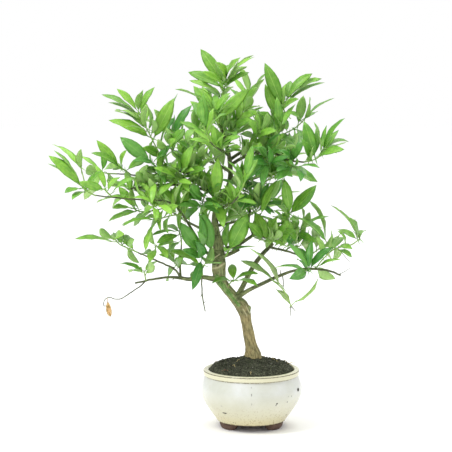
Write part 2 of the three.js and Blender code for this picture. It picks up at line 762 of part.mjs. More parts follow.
// Half width of a blade as a share of its widest: pointed at the tip, tapering into the stalk.
function bladeShape(s) {
  return s <= 0 ? 0 : 3.45 * Math.pow(s, 0.85) * Math.pow(1 - s, 0.78) * (1 - 0.22 * s);
}

// The place on a blade at t along it and s across it, from edge (-1) to edge (1).
function across(b, t, s) {
  const half = b.half(t);
  return b
    .middle(t)
    .addScaledVector(b.side, s * half)
    .addScaledVector(b.normal, Math.abs(s) * leaf.fold * half);
}

const probes = { foot: [0.03, 0.08], from: 0.13, steps: 11, across: [-0.95, -0.5, 0, 0.5, 0.95] };
function probesOf(b) {
  const found = [];
  for (let i = 0; i < probes.steps; i++) {
    const t = probes.from + ((1 - probes.from) * i) / (probes.steps - 1);
    for (const s of probes.across) found.push(across(b, t, s));
  }
  return found;
}

function fits(b, own) {
  const feet = probes.foot.every((t) => clearAt(b.middle(t), own, true));
  return feet && probesOf(b).every((p) => clearAt(p, own, false));
}

function settle(b, own) {
  for (const p of [...probes.foot.map(b.middle), ...probesOf(b)]) occupy(p, 0, own);
  return b;
}

// A leaf drawn on the front view: its tip lies on the line of sight, nearer or farther, until it is clear.
const tries = {
  stretch: [1, 1.08, 0.92, 1.16, 0.85],
  roll: [0, 0.35, -0.35, 0.7],
  shift: [[0, 0], [3, -3], [-3, -3], [4, 4], [-4, 4], [0, -6], [0, 6]],
};
function drawnLeaf(stem, [u, tipAcross, tipDown, breadth], draw, own) {
  const base = stem.curve.getPoint(u);
  const heading = stem.curve.getTangent(u);
  const natural = leaf.length * (1 + leaf.spread * (2 * draw() - 1));
  const ahead = draw() < 0.5 ? -1 : 1;
  for (const [right, down] of tries.shift)
    for (const roll of tries.roll)
      for (const stretch of [...tries.stretch, ...tries.stretch.map((share) => -share)]) {
        const seen = [tipAcross + right, tipDown + down];
        const flat = span(base, along(seen, base.y)).length();
        const deep = Math.sqrt(Math.max(0, (natural * stretch) ** 2 - flat * flat));
        const tip = along(seen, base.y + ahead * Math.sign(stretch) * deep);
        const axis = span(base, tip).normalize();
        const open = square(toViewer, axis);
        const lean = Math.acos(Math.min(1, breadth)) + roll;
        const faces = [turned(open, axis, lean), turned(open, axis, -lean)];
        const face = faces[0].z > faces[1].z ? faces[0] : faces[1];
        const upper = face.dot(heading) + face.z * 0.7 > 0 ? face : face.clone().negate();
        const b = blade(base, tip, upper, leaf.slimness * Math.max(1, breadth) * span(base, tip).length());
        if (fits(b, own)) return settle(b, own);
      }
  return null;
}

// A leaf of a spiral: it leaves the stem at an angle, turned on by the golden angle from the last one.
const spiral = { golden: 2.39996, low: 1.05, high: 0.55, jitter: 0.22, rise: 0.35, start: 0.22, end: 0.97 };
const nudges = [0, 0.35, -0.35, 0.7, -0.7, 1.05, -1.05, 1.4];
function spiralLeaf(stem, i, count, draw, own) {
  const u = spiral.start + ((spiral.end - spiral.start) * i) / Math.max(1, count - 1);
  const base = stem.curve.getPoint(u);
  const heading = stem.curve.getTangent(u);
  const natural = leaf.length * (1 + leaf.spread * (2 * draw() - 1));
  const turn = spiral.golden * i + spiral.jitter * (2 * draw() - 1);
  const open = spiral.low + (spiral.high - spiral.low) * u + spiral.jitter * (2 * draw() - 1);
  for (const more of [0, 0.3, -0.25])
    for (const nudge of nudges) {
      const out = turned(square(up, heading), heading, turn + nudge);
      const axis = heading
        .clone()
        .multiplyScalar(Math.cos(open + more))
        .addScaledVector(out, Math.sin(open + more));
      axis.z += spiral.rise;
      axis.normalize();
      const tip = base.clone().addScaledVector(axis, natural);
      const face = heading.clone().addScaledVector(up, 1.2);
      const b = blade(base, tip, face, leaf.slimness * natural);
      if (fits(b, own)) return settle(b, own);
    }
  return null;
}

// Solids. A skin joins rings of points, or a single point at either end, into one closed mesh. The two
// rings of a step may differ in size: the shorter one then waits at its last corner.
function skin(rings) {
  const corners = rings.flat();
  const starts = rings.map((_, r) => rings.slice(0, r).flat().length);
  const faces = [];
  for (let r = 0; r + 1 < rings.length; r++) {
    const [near, far] = [rings[r].length, rings[r + 1].length];
    const at = (ring, n, size) => starts[ring] + (n % size);
    for (let i = 0; i < Math.max(near, far); i++) {
      const [a, b] = [at(r, Math.min(i, near), near), at(r, Math.min(i + 1, near), near)];
      const [d, c] = [at(r + 1, Math.min(i, far), far), at(r + 1, Math.min(i + 1, far), far)];
      if (a !== b) faces.push([a, b, c]);
      if (c !== d) faces.push([a, c, d]);
    }
  }
  const first = starts[0];
  for (let i = 1; i + 1 < rings[0].length; i++) faces.push([first, first + i + 1, first + i]);
  const last = starts[rings.length - 1];
  for (let i = 1; i + 1 < rings.at(-1).length; i++) faces.push([last, last + i, last + i + 1]);
  const geometry = new THREE.BufferGeometry();
  const places = corners.flatMap((p) => [p.x, p.y, p.z]);
  geometry.setAttribute("position", new THREE.Float32BufferAttribute(places, 3));
  return geometry.setIndex(faces.flat());
}

function solid(geometry) {
  const bare = geometry.clone();
  bare.deleteAttribute("normal");
  bare.deleteAttribute("uv");
  const merged = mergeVertices(bare, 1e-4);
  const vertProperties = merged.attributes.position.array;
  const triVerts = new Uint32Array(merged.index.array);
  return new wasm.Manifold(new wasm.Mesh({ numProp: 3, vertProperties, triVerts }));
}

function meshOf(name, made, look) {
  const { vertProperties, triVerts, numProp } = made.getMesh();
  const count = vertProperties.length / numProp;
  const places = new Float32Array(count * 3);
  for (let i = 0; i < count; i++) {
    const start = i * numProp;
    places.set(vertProperties.subarray(start, start + 3), i * 3);
  }
  const geometry = new THREE.BufferGeometry();
  geometry.setAttribute("position", new THREE.BufferAttribute(places, 3));
  geometry.setIndex(new THREE.BufferAttribute(triVerts, 1));
  geometry.computeVertexNormals();
  const mesh = new THREE.Mesh(geometry, look);
  mesh.name = name;
  return mesh;
}

const biggest = (made) => made.decompose().sort((a, b) => b.volume() - a.volume())[0];
const union = (solids) => solids.reduce((sum, next) => sum.add(next));

// A round stem through points, each with its own radius.
function tube(points, radii, sides, extra = 0) {
  let across = null;
  const rings = points.map((p, i) => {
    const before = points[Math.max(0, i - 1)];
    const after = points[Math.min(points.length - 1, i + 1)];
    const heading = span(before, after).normalize();
    across = square(across ?? (Math.abs(heading.z) > 0.8 ? new THREE.Vector3(1, 0, 0) : up), heading);
    const other = new THREE.Vector3().crossVectors(heading, across);
    return Array.from({ length: sides }, (_, n) => {
      const angle = (2 * Math.PI * n) / sides;
      return p
        .clone()
        .addScaledVector(across, Math.cos(angle) * (radii[i] + extra))
        .addScaledVector(other, Math.sin(angle) * (radii[i] + extra));
    });
  });
  return solid(skin(rings));
}

// One leaf as a closed solid: a three-sided stalk sunk in the stem, then a folded blade with sharp edges.
function leafSolid(b) {
  const ring = (t, half, thick, isBlade) => {
    const p = b.middle(t);
    const lift = isBlade ? leaf.fold * half : thick / 2;
    const corners = [
      p.clone().addScaledVector(b.side, half).addScaledVector(b.normal, lift),
      p.clone().addScaledVector(b.normal, -thick),
      p.clone().addScaledVector(b.side, -half).addScaledVector(b.normal, lift),
    ];
    return isBlade ? [...corners, p.clone().addScaledVector(b.normal, thick)] : corners;
  };
  const root = b.base.clone().addScaledVector(b.axis, -leaf.sunk);
  const stalk = ring(leaf.stalkEnd / b.length, leaf.stalkRadius, leaf.stalkRadius, false);
  const wide = leaf.stations.map((t) => ring(t, b.half(t), leaf.thick / 2, true));
  return solid(skin([[root], stalk, ...wide, [b.tip]]));
}

// Leaves that are drawn close together leave the stem a little apart, the last one at its tip.
function spaced(entries, length) {
  const order = [...entries].sort((a, b) => b[0] - a[0]);
  let last = 1 + (leaf.apart - 1) / length;
  return order.map(([u, ...rest]) => {
    last = Math.max(0.02, Math.min(u, last - leaf.apart / length));
    return [last, ...rest];
  });
}

// The pot's outside line, from the base up to the neck, then the lip and the inside.
function potSolid() {
  const { height, lipHeight } = pot;
  const [base, lip, bulge, belly] = [pot.footHeight, pot.lipRadius, pot.bulgeRadius, pot.bulgeHeight];
  const rise = belly - base;
  const wall = pot.stations.map((s) => [
    pot.baseRadius + (bulge - pot.baseRadius) * Math.sin((s ** pot.swell * Math.PI) / 2),
    base + rise * s,
  ]);
  const neck = height - lipHeight;
  const outline = [
    [pot.drainRadius, base],
    ...wall,
    [bulge - 3.9, belly + (neck - belly) * 0.6],
    [lip - 3, neck],
    [lip, neck + 1],
    [lip, height - 2.5],
    [lip - 2, height],
    [pot.mouthRadius + 2, height],
    [pot.mouthRadius, height - 2],
    [bulge - 9, belly],
    [pot.baseRadius + 3, base + pot.floor + 12],
    [pot.baseRadius - 8, base + pot.floor],
    [pot.drainRadius, base + pot.floor],
    [pot.drainRadius, base],
  ];
  const bowl = new THREE.LatheGeometry(outline.map(([r, z]) => new THREE.Vector2(r, z)), pot.sides);
  bowl.rotateX(Math.PI / 2);
  let made = solid(bowl);
  for (let i = 0; i < feet.count; i++) {
    made = made.add(footSolid(Math.PI / 2 + (2 * Math.PI * i) / feet.count));
  }
  return made;
}

// A low rounded block that narrows to a small flat sole.
function footSolid(angle) {
  const levels = [[0, 0.68], [3, 0.88], [pot.footHeight + feet.sunk, 1]];
  const outward = new THREE.Vector3(Math.cos(angle), Math.sin(angle), 0);
  const sideways = new THREE.Vector3(-Math.sin(angle), Math.cos(angle), 0);
  const rings = levels.map(([z, scale]) =>
    Array.from({ length: feet.corners }, (_, n) => {
      const turn = (2 * Math.PI * n) / feet.corners;
      const round = (v) => Math.sign(v) * Math.abs(v) ** feet.square;
      return new THREE.Vector3(0, 0, z)
        .addScaledVector(outward, feet.ring + round(Math.cos(turn)) * feet.halfDepth * scale)
        .addScaledVector(sideways, round(Math.sin(turn)) * feet.halfLength * scale);
    }),
  );
  return solid(skin(rings));
}

// The screen over the drain hole: a thin disc with square holes.
function screenSolid() {
  const middleZ = pot.footHeight + pot.floor + gap + screen.thick / 2;
  const disc = new THREE.CylinderGeometry(screen.radius, screen.radius, screen.thick, screen.sides);
  let plate = solid(disc.rotateX(Math.PI / 2).translate(0, 0, middleZ));
  const pitch = screen.bar + screen.hole;
  const reach = (screen.across - 1) / 2;
  for (let i = -reach; i <= reach; i++)
    for (let j = -reach; j <= reach; j++) {
      if (Math.hypot(i, j) * pitch + screen.hole > screen.radius) continue;
      const hole = new THREE.BoxGeometry(screen.hole, screen.hole, screen.thick + 2);
      plate = plate.subtract(solid(hole.translate(i * pitch, j * pitch, middleZ)));
    }
  return plate;
}

// The soil fills the pot and is domed up to the trunk, with a plain hole for the trunk's foot.
function soilSolid() {
  const level = pot.height - soil.belowLip;
  const floorZ = pot.footHeight + pot.floor + gap;
  const domeAt = (r) => {
    const round = soil.dome * (1 - (r / soil.domeRadius) ** soil.fall);
    return level + round + mound.height * Math.exp(-((r / mound.width) ** 2));
  };
  const wall = pot.mouthRadius - gap - 0.4;
  const outline = [
    [0, floorZ + screen.thick + gap],
    [screen.radius + gap, floorZ + screen.thick + gap],
    [screen.radius + gap, floorZ],
    [pot.baseRadius - 9, floorZ],
    [pot.baseRadius + 1, floorZ + 11.5],
    [pot.bulgeRadius - 9.8, pot.bulgeHeight],
    [wall, level - 1.2],
    ...soil.rings.toReversed().map((r) => [r, domeAt(r)]),
    [0, domeAt(0)],
  ];
  const body = new THREE.LatheGeometry(outline.map(([r, z]) => new THREE.Vector2(r, z)), pot.sides);
  body.rotateX(Math.PI / 2);
  return solid(body);
}

const finish = (color, roughness) => new THREE.MeshStandardMaterial({ color, roughness, metalness: 0 });
const looks = {
  glaze: () => finish(0xe9e6d6, 0.25),
  soil: () => finish(0x2b2722, 0.95),
  wood: () => finish(0x7d7350, 0.85),
  young: () => finish(0x93c552, 0.4),
  grown: () => finish(0x64a136, 0.4),
  old: () => finish(0x3d7a30, 0.35),
  dried: () => finish(0xc9955a, 0.7),
  screen: () => finish(0x2f3133, 0.6),
};

const plant = new THREE.Group();

// Wood first: its curves are grown, then skinned, and kept a little fatter to seat the stems and the soil.
const twigRadius = 2.2; // a bough no thicker than this has three sides
const boughSolids = [];
const boughSeats = [];
for (const [name, { on, line, sides }] of Object.entries(wood)) {
  const bough = grow(name, line, on);
  const radii = line.map((p) => p[3]);
  const round = sides ?? (radii[0] > twigRadius ? 4 : 3);
  boughSolids.push(tube(bough.points, radii, round));
  boughSeats.push(tube(bough.points, radii, round, gap + 0.1));
  const steps = Math.ceil(bough.length / room.ballStep);
  for (let i = 0; i <= steps; i++) {
    const along = (i / steps) * (radii.length - 1);
    const n = Math.min(radii.length - 2, Math.floor(along));
    occupy(bough.curve.getPoint(i / steps), radii[n] + (radii[n + 1] - radii[n]) * (along - n), "wood");
  }
}
const woodSeat = union(boughSeats);
plant.add(meshOf("pot", potSolid(), looks.glaze()));
plant.add(meshOf("drain_screen", screenSolid(), looks.screen()));
plant.add(meshOf("soil", biggest(soilSolid().subtract(woodSeat)), looks.soil()));
plant.add(meshOf("trunk_and_boughs", biggest(union(boughSolids)), looks.wood()));

// Then all stems, and last the leaves, so that no leaf grows where a stem will be.
const stemRadii = { foot: 1.9, tip: 1.5, sides: 3 };
const shoots = [];
Object.entries(stems).forEach(([name, stem], n) => {
  const main = { ...grow(name, stem.line, stem.on), leaves: stem.leaves ?? [], more: stem.more ?? 0 };
  const sides = (stem.sides ?? []).map((side) => {
    return { ...grow(null, side.line, name), leaves: side.leaves, more: 0 };
  });
  const parts = [main, ...sides];
  for (const part of parts) {
    const steps = Math.ceil(part.length / room.ballStep);
    for (let i = 2; i <= steps; i++) occupy(part.curve.getPoint(i / steps), stemRadii.foot, name);
  }
  shoots.push({ name, parts, draw: dice(draws.start + draws.apart * n) });
});

// The drawn leaves come first, because they give the plant its outline. The spirals fill in behind them.
for (const { name, parts, draw } of shoots)
  for (const part of parts) {
    part.blades = spaced(part.leaves, part.length).map((entry) => drawnLeaf(part, entry, draw, name));
  }
for (const { name, parts, draw } of shoots)
  for (const part of parts)
    for (let i = 0; i < part.more; i++) {
      part.blades.push(spiralLeaf(part, i, part.more, draw, name));
    }

for (const { name, parts } of shoots) {
  const blades = parts.flatMap((part) => part.blades);
  const twigs = parts.map((part) => {
    const last = part.points.length - 1;
    const taper = stemRadii.tip - stemRadii.foot;
    const radii = part.points.map((_, i) => stemRadii.foot + (taper * i) / last);
    return tube(part.points, radii, stemRadii.sides);
  });
  const made = union([...twigs, ...blades.filter(Boolean).map(leafSolid)]).subtract(woodSeat);
  plant.add(meshOf(name, biggest(made), looks[stems[name].tone ?? "grown"]()));
}

// A dried leaf hangs from the curled twig by its stalk.
const hanger = place(dried.base);
const hung = blade(hanger, place(dried.tip), toViewer, dried.width);
plant.add(meshOf("dried_leaf", biggest(leafSolid(hung).subtract(woodSeat)), looks.dried()));

// The origin moves from the pot's axis to the middle of the plant.
const box = new THREE.Box3().setFromObject(plant);
const middle = box.getCenter(new THREE.Vector3());
plant.position.set(-middle.x, -middle.y, -box.min.z);

export default plant;
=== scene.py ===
# Limequat bonsai: a leaning citrus tree in a round cream-glazed pot with clay feet.
# The tree grows by the same rule as its solids, so every fine leaf lies where its solid leaf is.
import math
import random

import bmesh
import bpy
from mathutils import Matrix, Vector, kdtree, noise


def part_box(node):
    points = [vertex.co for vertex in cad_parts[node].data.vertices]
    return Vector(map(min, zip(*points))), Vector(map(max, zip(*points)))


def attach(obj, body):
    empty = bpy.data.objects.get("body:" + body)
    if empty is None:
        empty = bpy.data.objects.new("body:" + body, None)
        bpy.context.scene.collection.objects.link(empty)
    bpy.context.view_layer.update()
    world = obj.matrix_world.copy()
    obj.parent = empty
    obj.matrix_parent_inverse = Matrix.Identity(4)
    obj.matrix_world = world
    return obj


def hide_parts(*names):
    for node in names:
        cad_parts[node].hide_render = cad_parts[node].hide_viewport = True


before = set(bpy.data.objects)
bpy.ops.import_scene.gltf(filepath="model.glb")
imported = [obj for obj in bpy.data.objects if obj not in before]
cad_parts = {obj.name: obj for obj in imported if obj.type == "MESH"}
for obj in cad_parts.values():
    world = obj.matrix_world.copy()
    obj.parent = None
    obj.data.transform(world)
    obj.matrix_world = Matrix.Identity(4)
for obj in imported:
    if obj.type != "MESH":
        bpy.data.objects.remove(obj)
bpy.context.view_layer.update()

mm = 0.001

# The plan below is in mm round the pot's axis. The solids are moved so that the whole plant is centred.
potLow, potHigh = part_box("pot")
potAxis = Vector(((potLow.x + potHigh.x) / 2, (potLow.y + potHigh.y) / 2, 0))


def inScene(point):
    return potAxis + Vector(point) * mm


def deselectAll():
    bpy.ops.object.select_all(action="DESELECT")


def selectOnly(*pieces):
    deselectAll()
    for piece in pieces:
        piece.select_set(True)
    bpy.context.view_layer.objects.active = pieces[0]


def selectAll():
    bpy.ops.mesh.select_all(action="SELECT")


def startEditing():
    bpy.ops.object.mode_set(mode="EDIT")
    selectAll()


# In edit mode: selects the corners whose place passes the test.
def pick(test):
    mesh = bpy.context.edit_object.data
    shape = bmesh.from_edit_mesh(mesh)
    bpy.ops.mesh.select_all(action="DESELECT")
    for corner in shape.verts:
        corner.select = bool(test(corner.co))
    shape.select_flush(True)
    bmesh.update_edit_mesh(mesh)


def joined(name, pieces):
    selectOnly(*pieces)
    if len(pieces) > 1:
        bpy.ops.object.join()
    piece = bpy.context.object
    piece.name = piece.data.name = name
    return piece


def placed(piece):
    selectOnly(piece)
    bpy.ops.object.transform_apply(location=True, rotation=True, scale=True)
    return piece


def copyOf(master, matrix):
    piece = master.copy()
    piece.data = master.data.copy()
    piece.matrix_world = matrix
    bpy.context.collection.objects.link(piece)
    return piece


def remove(piece):
    bpy.data.objects.remove(piece, do_unlink=True)


def applyModifier(piece, kind, **settings):
    selectOnly(piece)
    modifier = piece.modifiers.new(kind.title(), kind)
    for key, value in settings.items():
        setattr(modifier, key, value)
    bpy.ops.object.modifier_apply(modifier=modifier.name)


# A number for each corner, which a material reads by its name.
def setAttribute(piece, name, values, kind="FLOAT"):
    layer = piece.data.attributes.get(name) or piece.data.attributes.new(name, kind, "POINT")
    layer.data.foreach_set("vector" if kind == "FLOAT_VECTOR" else "value", values)


# sRGB hex to the linear colour that a shader takes
def colour(code):
    parts = [int(code[i:i + 2], 16) / 255 for i in (0, 2, 4)]
    return (*[c / 12.92 if c <= 0.04045 else ((c + 0.055) / 1.055) ** 2.4 for c in parts], 1)


# Adds a node and gives back one of its outputs. A key is an input's name or number, or a property, or the
# stops of a colour ramp. Links give outputs of other nodes.
def addNode(tree, kind, settings=None, links=None, out=0):
    node = tree.nodes.new("ShaderNode" + kind)
    for key, value in (settings or {}).items():
        if key == "stops":
            setStops(node.color_ramp.elements, value)
        elif isinstance(key, int) or key in node.inputs:
            node.inputs[key].default_value = value
        else:
            setattr(node, key, value)
    for key, source in (links or {}).items():
        tree.links.new(source, node.inputs[key])
    return node.outputs[out]


# Each stop is a spot from 0 to 1 and its colour.
def setStops(elements, stops):
    while len(elements) < len(stops):
        elements.new(0.5)
    for element, (spot, code) in zip(elements, stops):
        element.position = spot
        element.color = colour(code)


def newMaterial(name, settings):
    material = bpy.data.materials.new(name)
    material.use_nodes = True
    tree = material.node_tree
    for key, value in settings.items():
        tree.nodes["Principled BSDF"].inputs[key].default_value = value
    return material, tree


# What each material ends with: its colour, its roughness, and relief of so many mm
def finishSurface(tree, tint, rough, height, strength, deep, invert=False):
    bump = addNode(tree, "Bump", {"Strength": strength, "Distance": deep * mm, "invert": invert}, {
        "Height": height})
    for name, source in (("Base Color", tint), ("Roughness", rough), ("Normal", bump)):
        tree.links.new(source, tree.nodes["Principled BSDF"].inputs[name])


# A plain finish: its noises, each with its size in mm, detail and unevenness, and which of them its colour,
# blots of another colour, roughness and relief follow.
def plainMaterial(name, settings, look):
    material, tree = newMaterial(name, settings)
    place = addNode(tree, "TexCoord", out="Object")
    noises = {}
    for kind, (size, detail, uneven) in look["noises"].items():
        noises[kind] = addNode(tree, "TexNoise", {
            "Scale": 1 / (size * mm), "Detail": detail, "Roughness": uneven}, {0: place}, "Fac")
    by, stops = look["tint"]
    tint = addNode(tree, "ValToRGB", {"stops": stops}, {0: noises[by]})
    if "blots" in look:
        by, start, end, full, code = look["blots"]
        share = addNode(tree, "MapRange", {1: start, 2: end, 4: full}, {0: noises[by]})
        tint = addNode(tree, "Mix", {"data_type": "RGBA", 7: colour(code)}, {0: share, 6: tint}, 2)
    by, low, high = look["rough"]
    rough = addNode(tree, "MapRange", {3: low, 4: high}, {0: noises[by]})
    by, strength, deep = look["relief"]
    finishSurface(tree, tint, rough, noises[by], strength, deep)
    return material


# Leaves: living citrus leaves. A thick waxy cuticle gives a soft gloss, the midrib and side veins are paler
# than the blade, and the light that goes through makes the green warm. Young ones are yellower and brighter,
# and the leaves of two stems are paler, greyer and more matt.
leafFinishes = {
    "youngLeaf": {"light": "8CBE46", "deep": "62982F", "vein": "ACD46C", "rough": 0.36},
    "grownLeaf": {"light": "94C84C", "deep": "5E9836", "vein": "A2CC62", "rough": 0.33},
    "oldLeaf": {"light": "6CA648", "deep": "40822F", "vein": "84B65A", "rough": 0.31},
    "dullLeaf": {"light": "A4BC7C", "deep": "7E9E5E", "vein": "BCCC98", "rough": 0.48},
    "leafUnderside": {"light": "A6CA76", "deep": "88B25C", "vein": "B4D08A", "rough": 0.55},
}
leafPattern = {
    "mottle": 9,          # mm across one cloud of lighter green
    "cloudy": 0.25,       # how far a cloud moves the tone
    "sideVeins": 11,      # pairs of side veins
    "veinSlope": 5.5,     # how far they run towards the tip on their way to the margin
    "midrib": 0.028,      # its half width as a share of the blade's
    "veinDeep": 0.25,     # mm
    "ribPale": 0.7,       # how fully the midrib, the side veins and the margin take the pale colour
    "veinPale": 0.2,
    "marginPale": 0.3,
}


def leafMaterial(name, look):
    pattern = leafPattern
    material, tree = newMaterial(name, {
        "Subsurface Weight": 0.2, "Subsurface Radius": (0.5, 1.0, 0.25), "Subsurface Scale": 0.0012,
        "IOR": 1.45, "Specular IOR Level": 0.45})
    place = addNode(tree, "TexCoord", out="Object")
    sheet = addNode(tree, "TexCoord", out="UV")
    across = addNode(tree, "SeparateXYZ", links={0: sheet})
    lengthwise = addNode(tree, "SeparateXYZ", links={0: sheet}, out=1)
    tone = addNode(tree, "Attribute", {"attribute_name": "leafTone"}, out="Fac")
    offset = addNode(tree, "Math", {"operation": "SUBTRACT", 1: 0.5}, {0: across})
    fromRib = addNode(tree, "Math", {"operation": "ABSOLUTE"}, {0: offset})
    rib = addNode(tree, "MapRange", {
        1: pattern["midrib"], 2: pattern["midrib"] * 0.3, 4: pattern["ribPale"]}, {0: fromRib})

    # side veins: a wave along the leaf that is pushed towards the tip with the distance from the midrib
    pushed = addNode(tree, "Math", {"operation": "MULTIPLY", 1: -pattern["veinSlope"]}, {0: fromRib})
    along = addNode(tree, "Math", {"operation": "MULTIPLY_ADD", 1: pattern["sideVeins"]}, {
        0: lengthwise, 2: pushed})
    turn = addNode(tree, "Math", {"operation": "MULTIPLY", 1: 2 * math.pi}, {0: along})
    wave = addNode(tree, "Math", {"operation": "COSINE"}, {0: turn})
    lines = addNode(tree, "MapRange", {1: 0.86, 2: 1.0, 4: pattern["veinPale"]}, {0: wave})
    fading = addNode(tree, "MapRange", {1: 0.48, 2: 0.3}, {0: fromRib})
    sideVeins = addNode(tree, "Math", {"operation": "MULTIPLY"}, {0: lines, 1: fading})
    veins = addNode(tree, "Math", {"operation": "MAXIMUM"}, {0: rib, 1: sideVeins})

    mottle = addNode(tree, "TexNoise", {"Scale": 1 / (pattern["mottle"] * mm), "Detail": 3.0}, {
        0: place}, "Fac")
    cloudy = addNode(tree, "MapRange", {1: 0.35, 2: 0.65, 3: -pattern["cloudy"], 4: pattern["cloudy"]}, {
        0: mottle})
    shade = addNode(tree, "Math", {"operation": "ADD", "use_clamp": True}, {0: tone, 1: cloudy})
    green = addNode(tree, "ValToRGB", {"stops": ((0, look["light"]), (1, look["deep"]))}, {0: shade})
    margin = addNode(tree, "MapRange", {1: 0.46, 2: 0.5, 4: pattern["marginPale"]}, {0: fromRib})
    for share in (margin, veins):
        green = addNode(tree, "Mix", {"data_type": "RGBA", 7: colour(look["vein"])}, {0: share, 6: green}, 2)
    gloss = addNode(tree, "MapRange", {3: look["rough"] - 0.06, 4: look["rough"] + 0.1}, {0: mottle})
    finishSurface(tree, green, gloss, veins, 0.6, pattern["veinDeep"], invert=True)
    return material


# Green stems: young citrus wood, smooth, waxy and a little ridged.
stemFinish = {
    "noises": {"patches": (12, 4.0, 0.5), "ridges": (1.5, 2.0, 0.5)},
    "tint": ("patches", ((0.35, "6E9442"), (0.6, "96B45E"))),
    "rough": ("patches", 0.4, 0.6),
    "relief": ("ridges", 0.4, 0.15),
}
# Bark: thin citrus bark, matt, with fine cracks along the limb. Old bark is tan, boughs and twigs are olive.
barkPattern = {
    "streak": 2.2,        # mm across one streak, read on the limb's own grain
    "crack": 1.1,         # mm, on the same grain
    "patch": 14,          # mm across a patch of older bark
    "older": 0.16,        # how much older it looks
    "tuft": 2.5,          # mm across a tuft of moss
    "deep": 0.9,          # mm of relief
    # from young bark, 0, to old bark, 1: the pale colour of its streaks and the dark one
    "pale": ((0.0, "66704C"), (0.25, "68704A"), (0.5, "9CA674"), (0.75, "8E8A62"), (1.0, "B0A274")),
    "dark": ((0.0, "3E4632"), (0.25, "3A4230"), (0.5, "5C6446"), (0.75, "58543B"), (1.0, "7A6E4C")),
    "moss": ((0.35, "38582A"), (0.52, "648C44"), (0.66, "A6B080")),
    "cracks": "3B3324",
    "scar": "BDB892",
}


def barkMaterial():
    pattern = barkPattern
    material, tree = newMaterial("citrusBark", {"IOR": 1.4, "Specular IOR Level": 0.3})
    place = addNode(tree, "TexCoord", out="Object")
    grain = addNode(tree, "Attribute", {"attribute_name": "grain"}, out="Vector")
    age, moss, scar = [
        addNode(tree, "Attribute", {"attribute_name": name}, out="Fac")
        for name in ("age", "moss", "scar")]
    streaks = addNode(tree, "TexNoise", {
        "Scale": 1 / pattern["streak"], "Detail": 5.0, "Roughness": 0.65}, {0: grain}, "Fac")
    cracks = addNode(tree, "TexNoise", {"Scale": 1 / pattern["crack"], "Detail": 2.0}, {0: grain}, "Fac")
    patches = addNode(tree, "TexNoise", {"Scale": 1 / (pattern["patch"] * mm), "Detail": 4.0}, {
        0: place}, "Fac")
    ageing = addNode(tree, "MapRange", {1: 0.3, 2: 0.7, 3: -pattern["older"], 4: pattern["older"]}, {
        0: patches})
    aged = addNode(tree, "Math", {"operation": "ADD", "use_clamp": True}, {0: age, 1: ageing})
    pale = addNode(tree, "ValToRGB", {"stops": pattern["pale"]}, {0: aged})
    dark = addNode(tree, "ValToRGB", {"stops": pattern["dark"]}, {0: aged})
    streaky = addNode(tree, "MapRange", {1: 0.36, 2: 0.58}, {0: streaks})
    wood = addNode(tree, "Mix", {"data_type": "RGBA"}, {0: streaky, 6: dark, 7: pale}, 2)
    lines = addNode(tree, "MapRange", {1: 0.36, 2: 0.28, 4: 0.75}, {0: cracks})
    for share, code in ((lines, pattern["cracks"]), (scar, pattern["scar"])):
        wood = addNode(tree, "Mix", {"data_type": "RGBA", 7: colour(code)}, {0: share, 6: wood}, 2)

    # moss: ragged at its edge, where only tufts of it stand
    tufts = addNode(tree, "TexNoise", {"Scale": 1 / (pattern["tuft"] * mm), "Detail": 3.0}, {
        0: place}, "Fac")
    ragged = addNode(tree, "MapRange", {3: 1.3, 4: -0.7}, {0: tufts})
    cover = addNode(tree, "Math", {"operation": "SUBTRACT", "use_clamp": True}, {0: moss, 1: ragged})
    full = addNode(tree, "MapRange", {1: 0.15, 2: 0.5}, {0: cover})
    greens = addNode(tree, "ValToRGB", {"stops": pattern["moss"]}, {0: streaks})
    mossy = addNode(tree, "Mix", {"data_type": "RGBA"}, {0: full, 6: wood, 7: greens}, 2)
    rough = addNode(tree, "MapRange", {3: 0.7, 4: 0.95}, {0: streaks})
    height = addNode(tree, "Math", {"operation": "MULTIPLY_ADD", 1: -0.6}, {0: lines, 2: streaks})
    finishSurface(tree, mossy, rough, height, 0.8, pattern["deep"])
    return material


youngLeaf = leafMaterial("youngCitrusLeaf", leafFinishes["youngLeaf"])
grownLeaf = leafMaterial("grownCitrusLeaf", leafFinishes["grownLeaf"])
oldLeaf = leafMaterial("oldCitrusLeaf", leafFinishes["oldLeaf"])
dullLeaf = leafMaterial("paleGreyGreenCitrusLeaf", leafFinishes["dullLeaf"])
leafUnderside = leafMaterial("citrusLeafUnderside", leafFinishes["leafUnderside"])
greenStem = plainMaterial("youngCitrusStem", {"IOR": 1.45}, stemFinish)
bark = barkMaterial()


# How the plant is seen from the front: steps across, steps down, and depth behind the pot's axis in mm.
view = {
    "distance": 4000, "tilt": math.radians(7.5), "step": 1.75, "middle": 226,
    "aimX": -44.7, "aimZ": 356.7,
}
crownDepth = 1.25  # the crown's depth, as a share of the depths given below

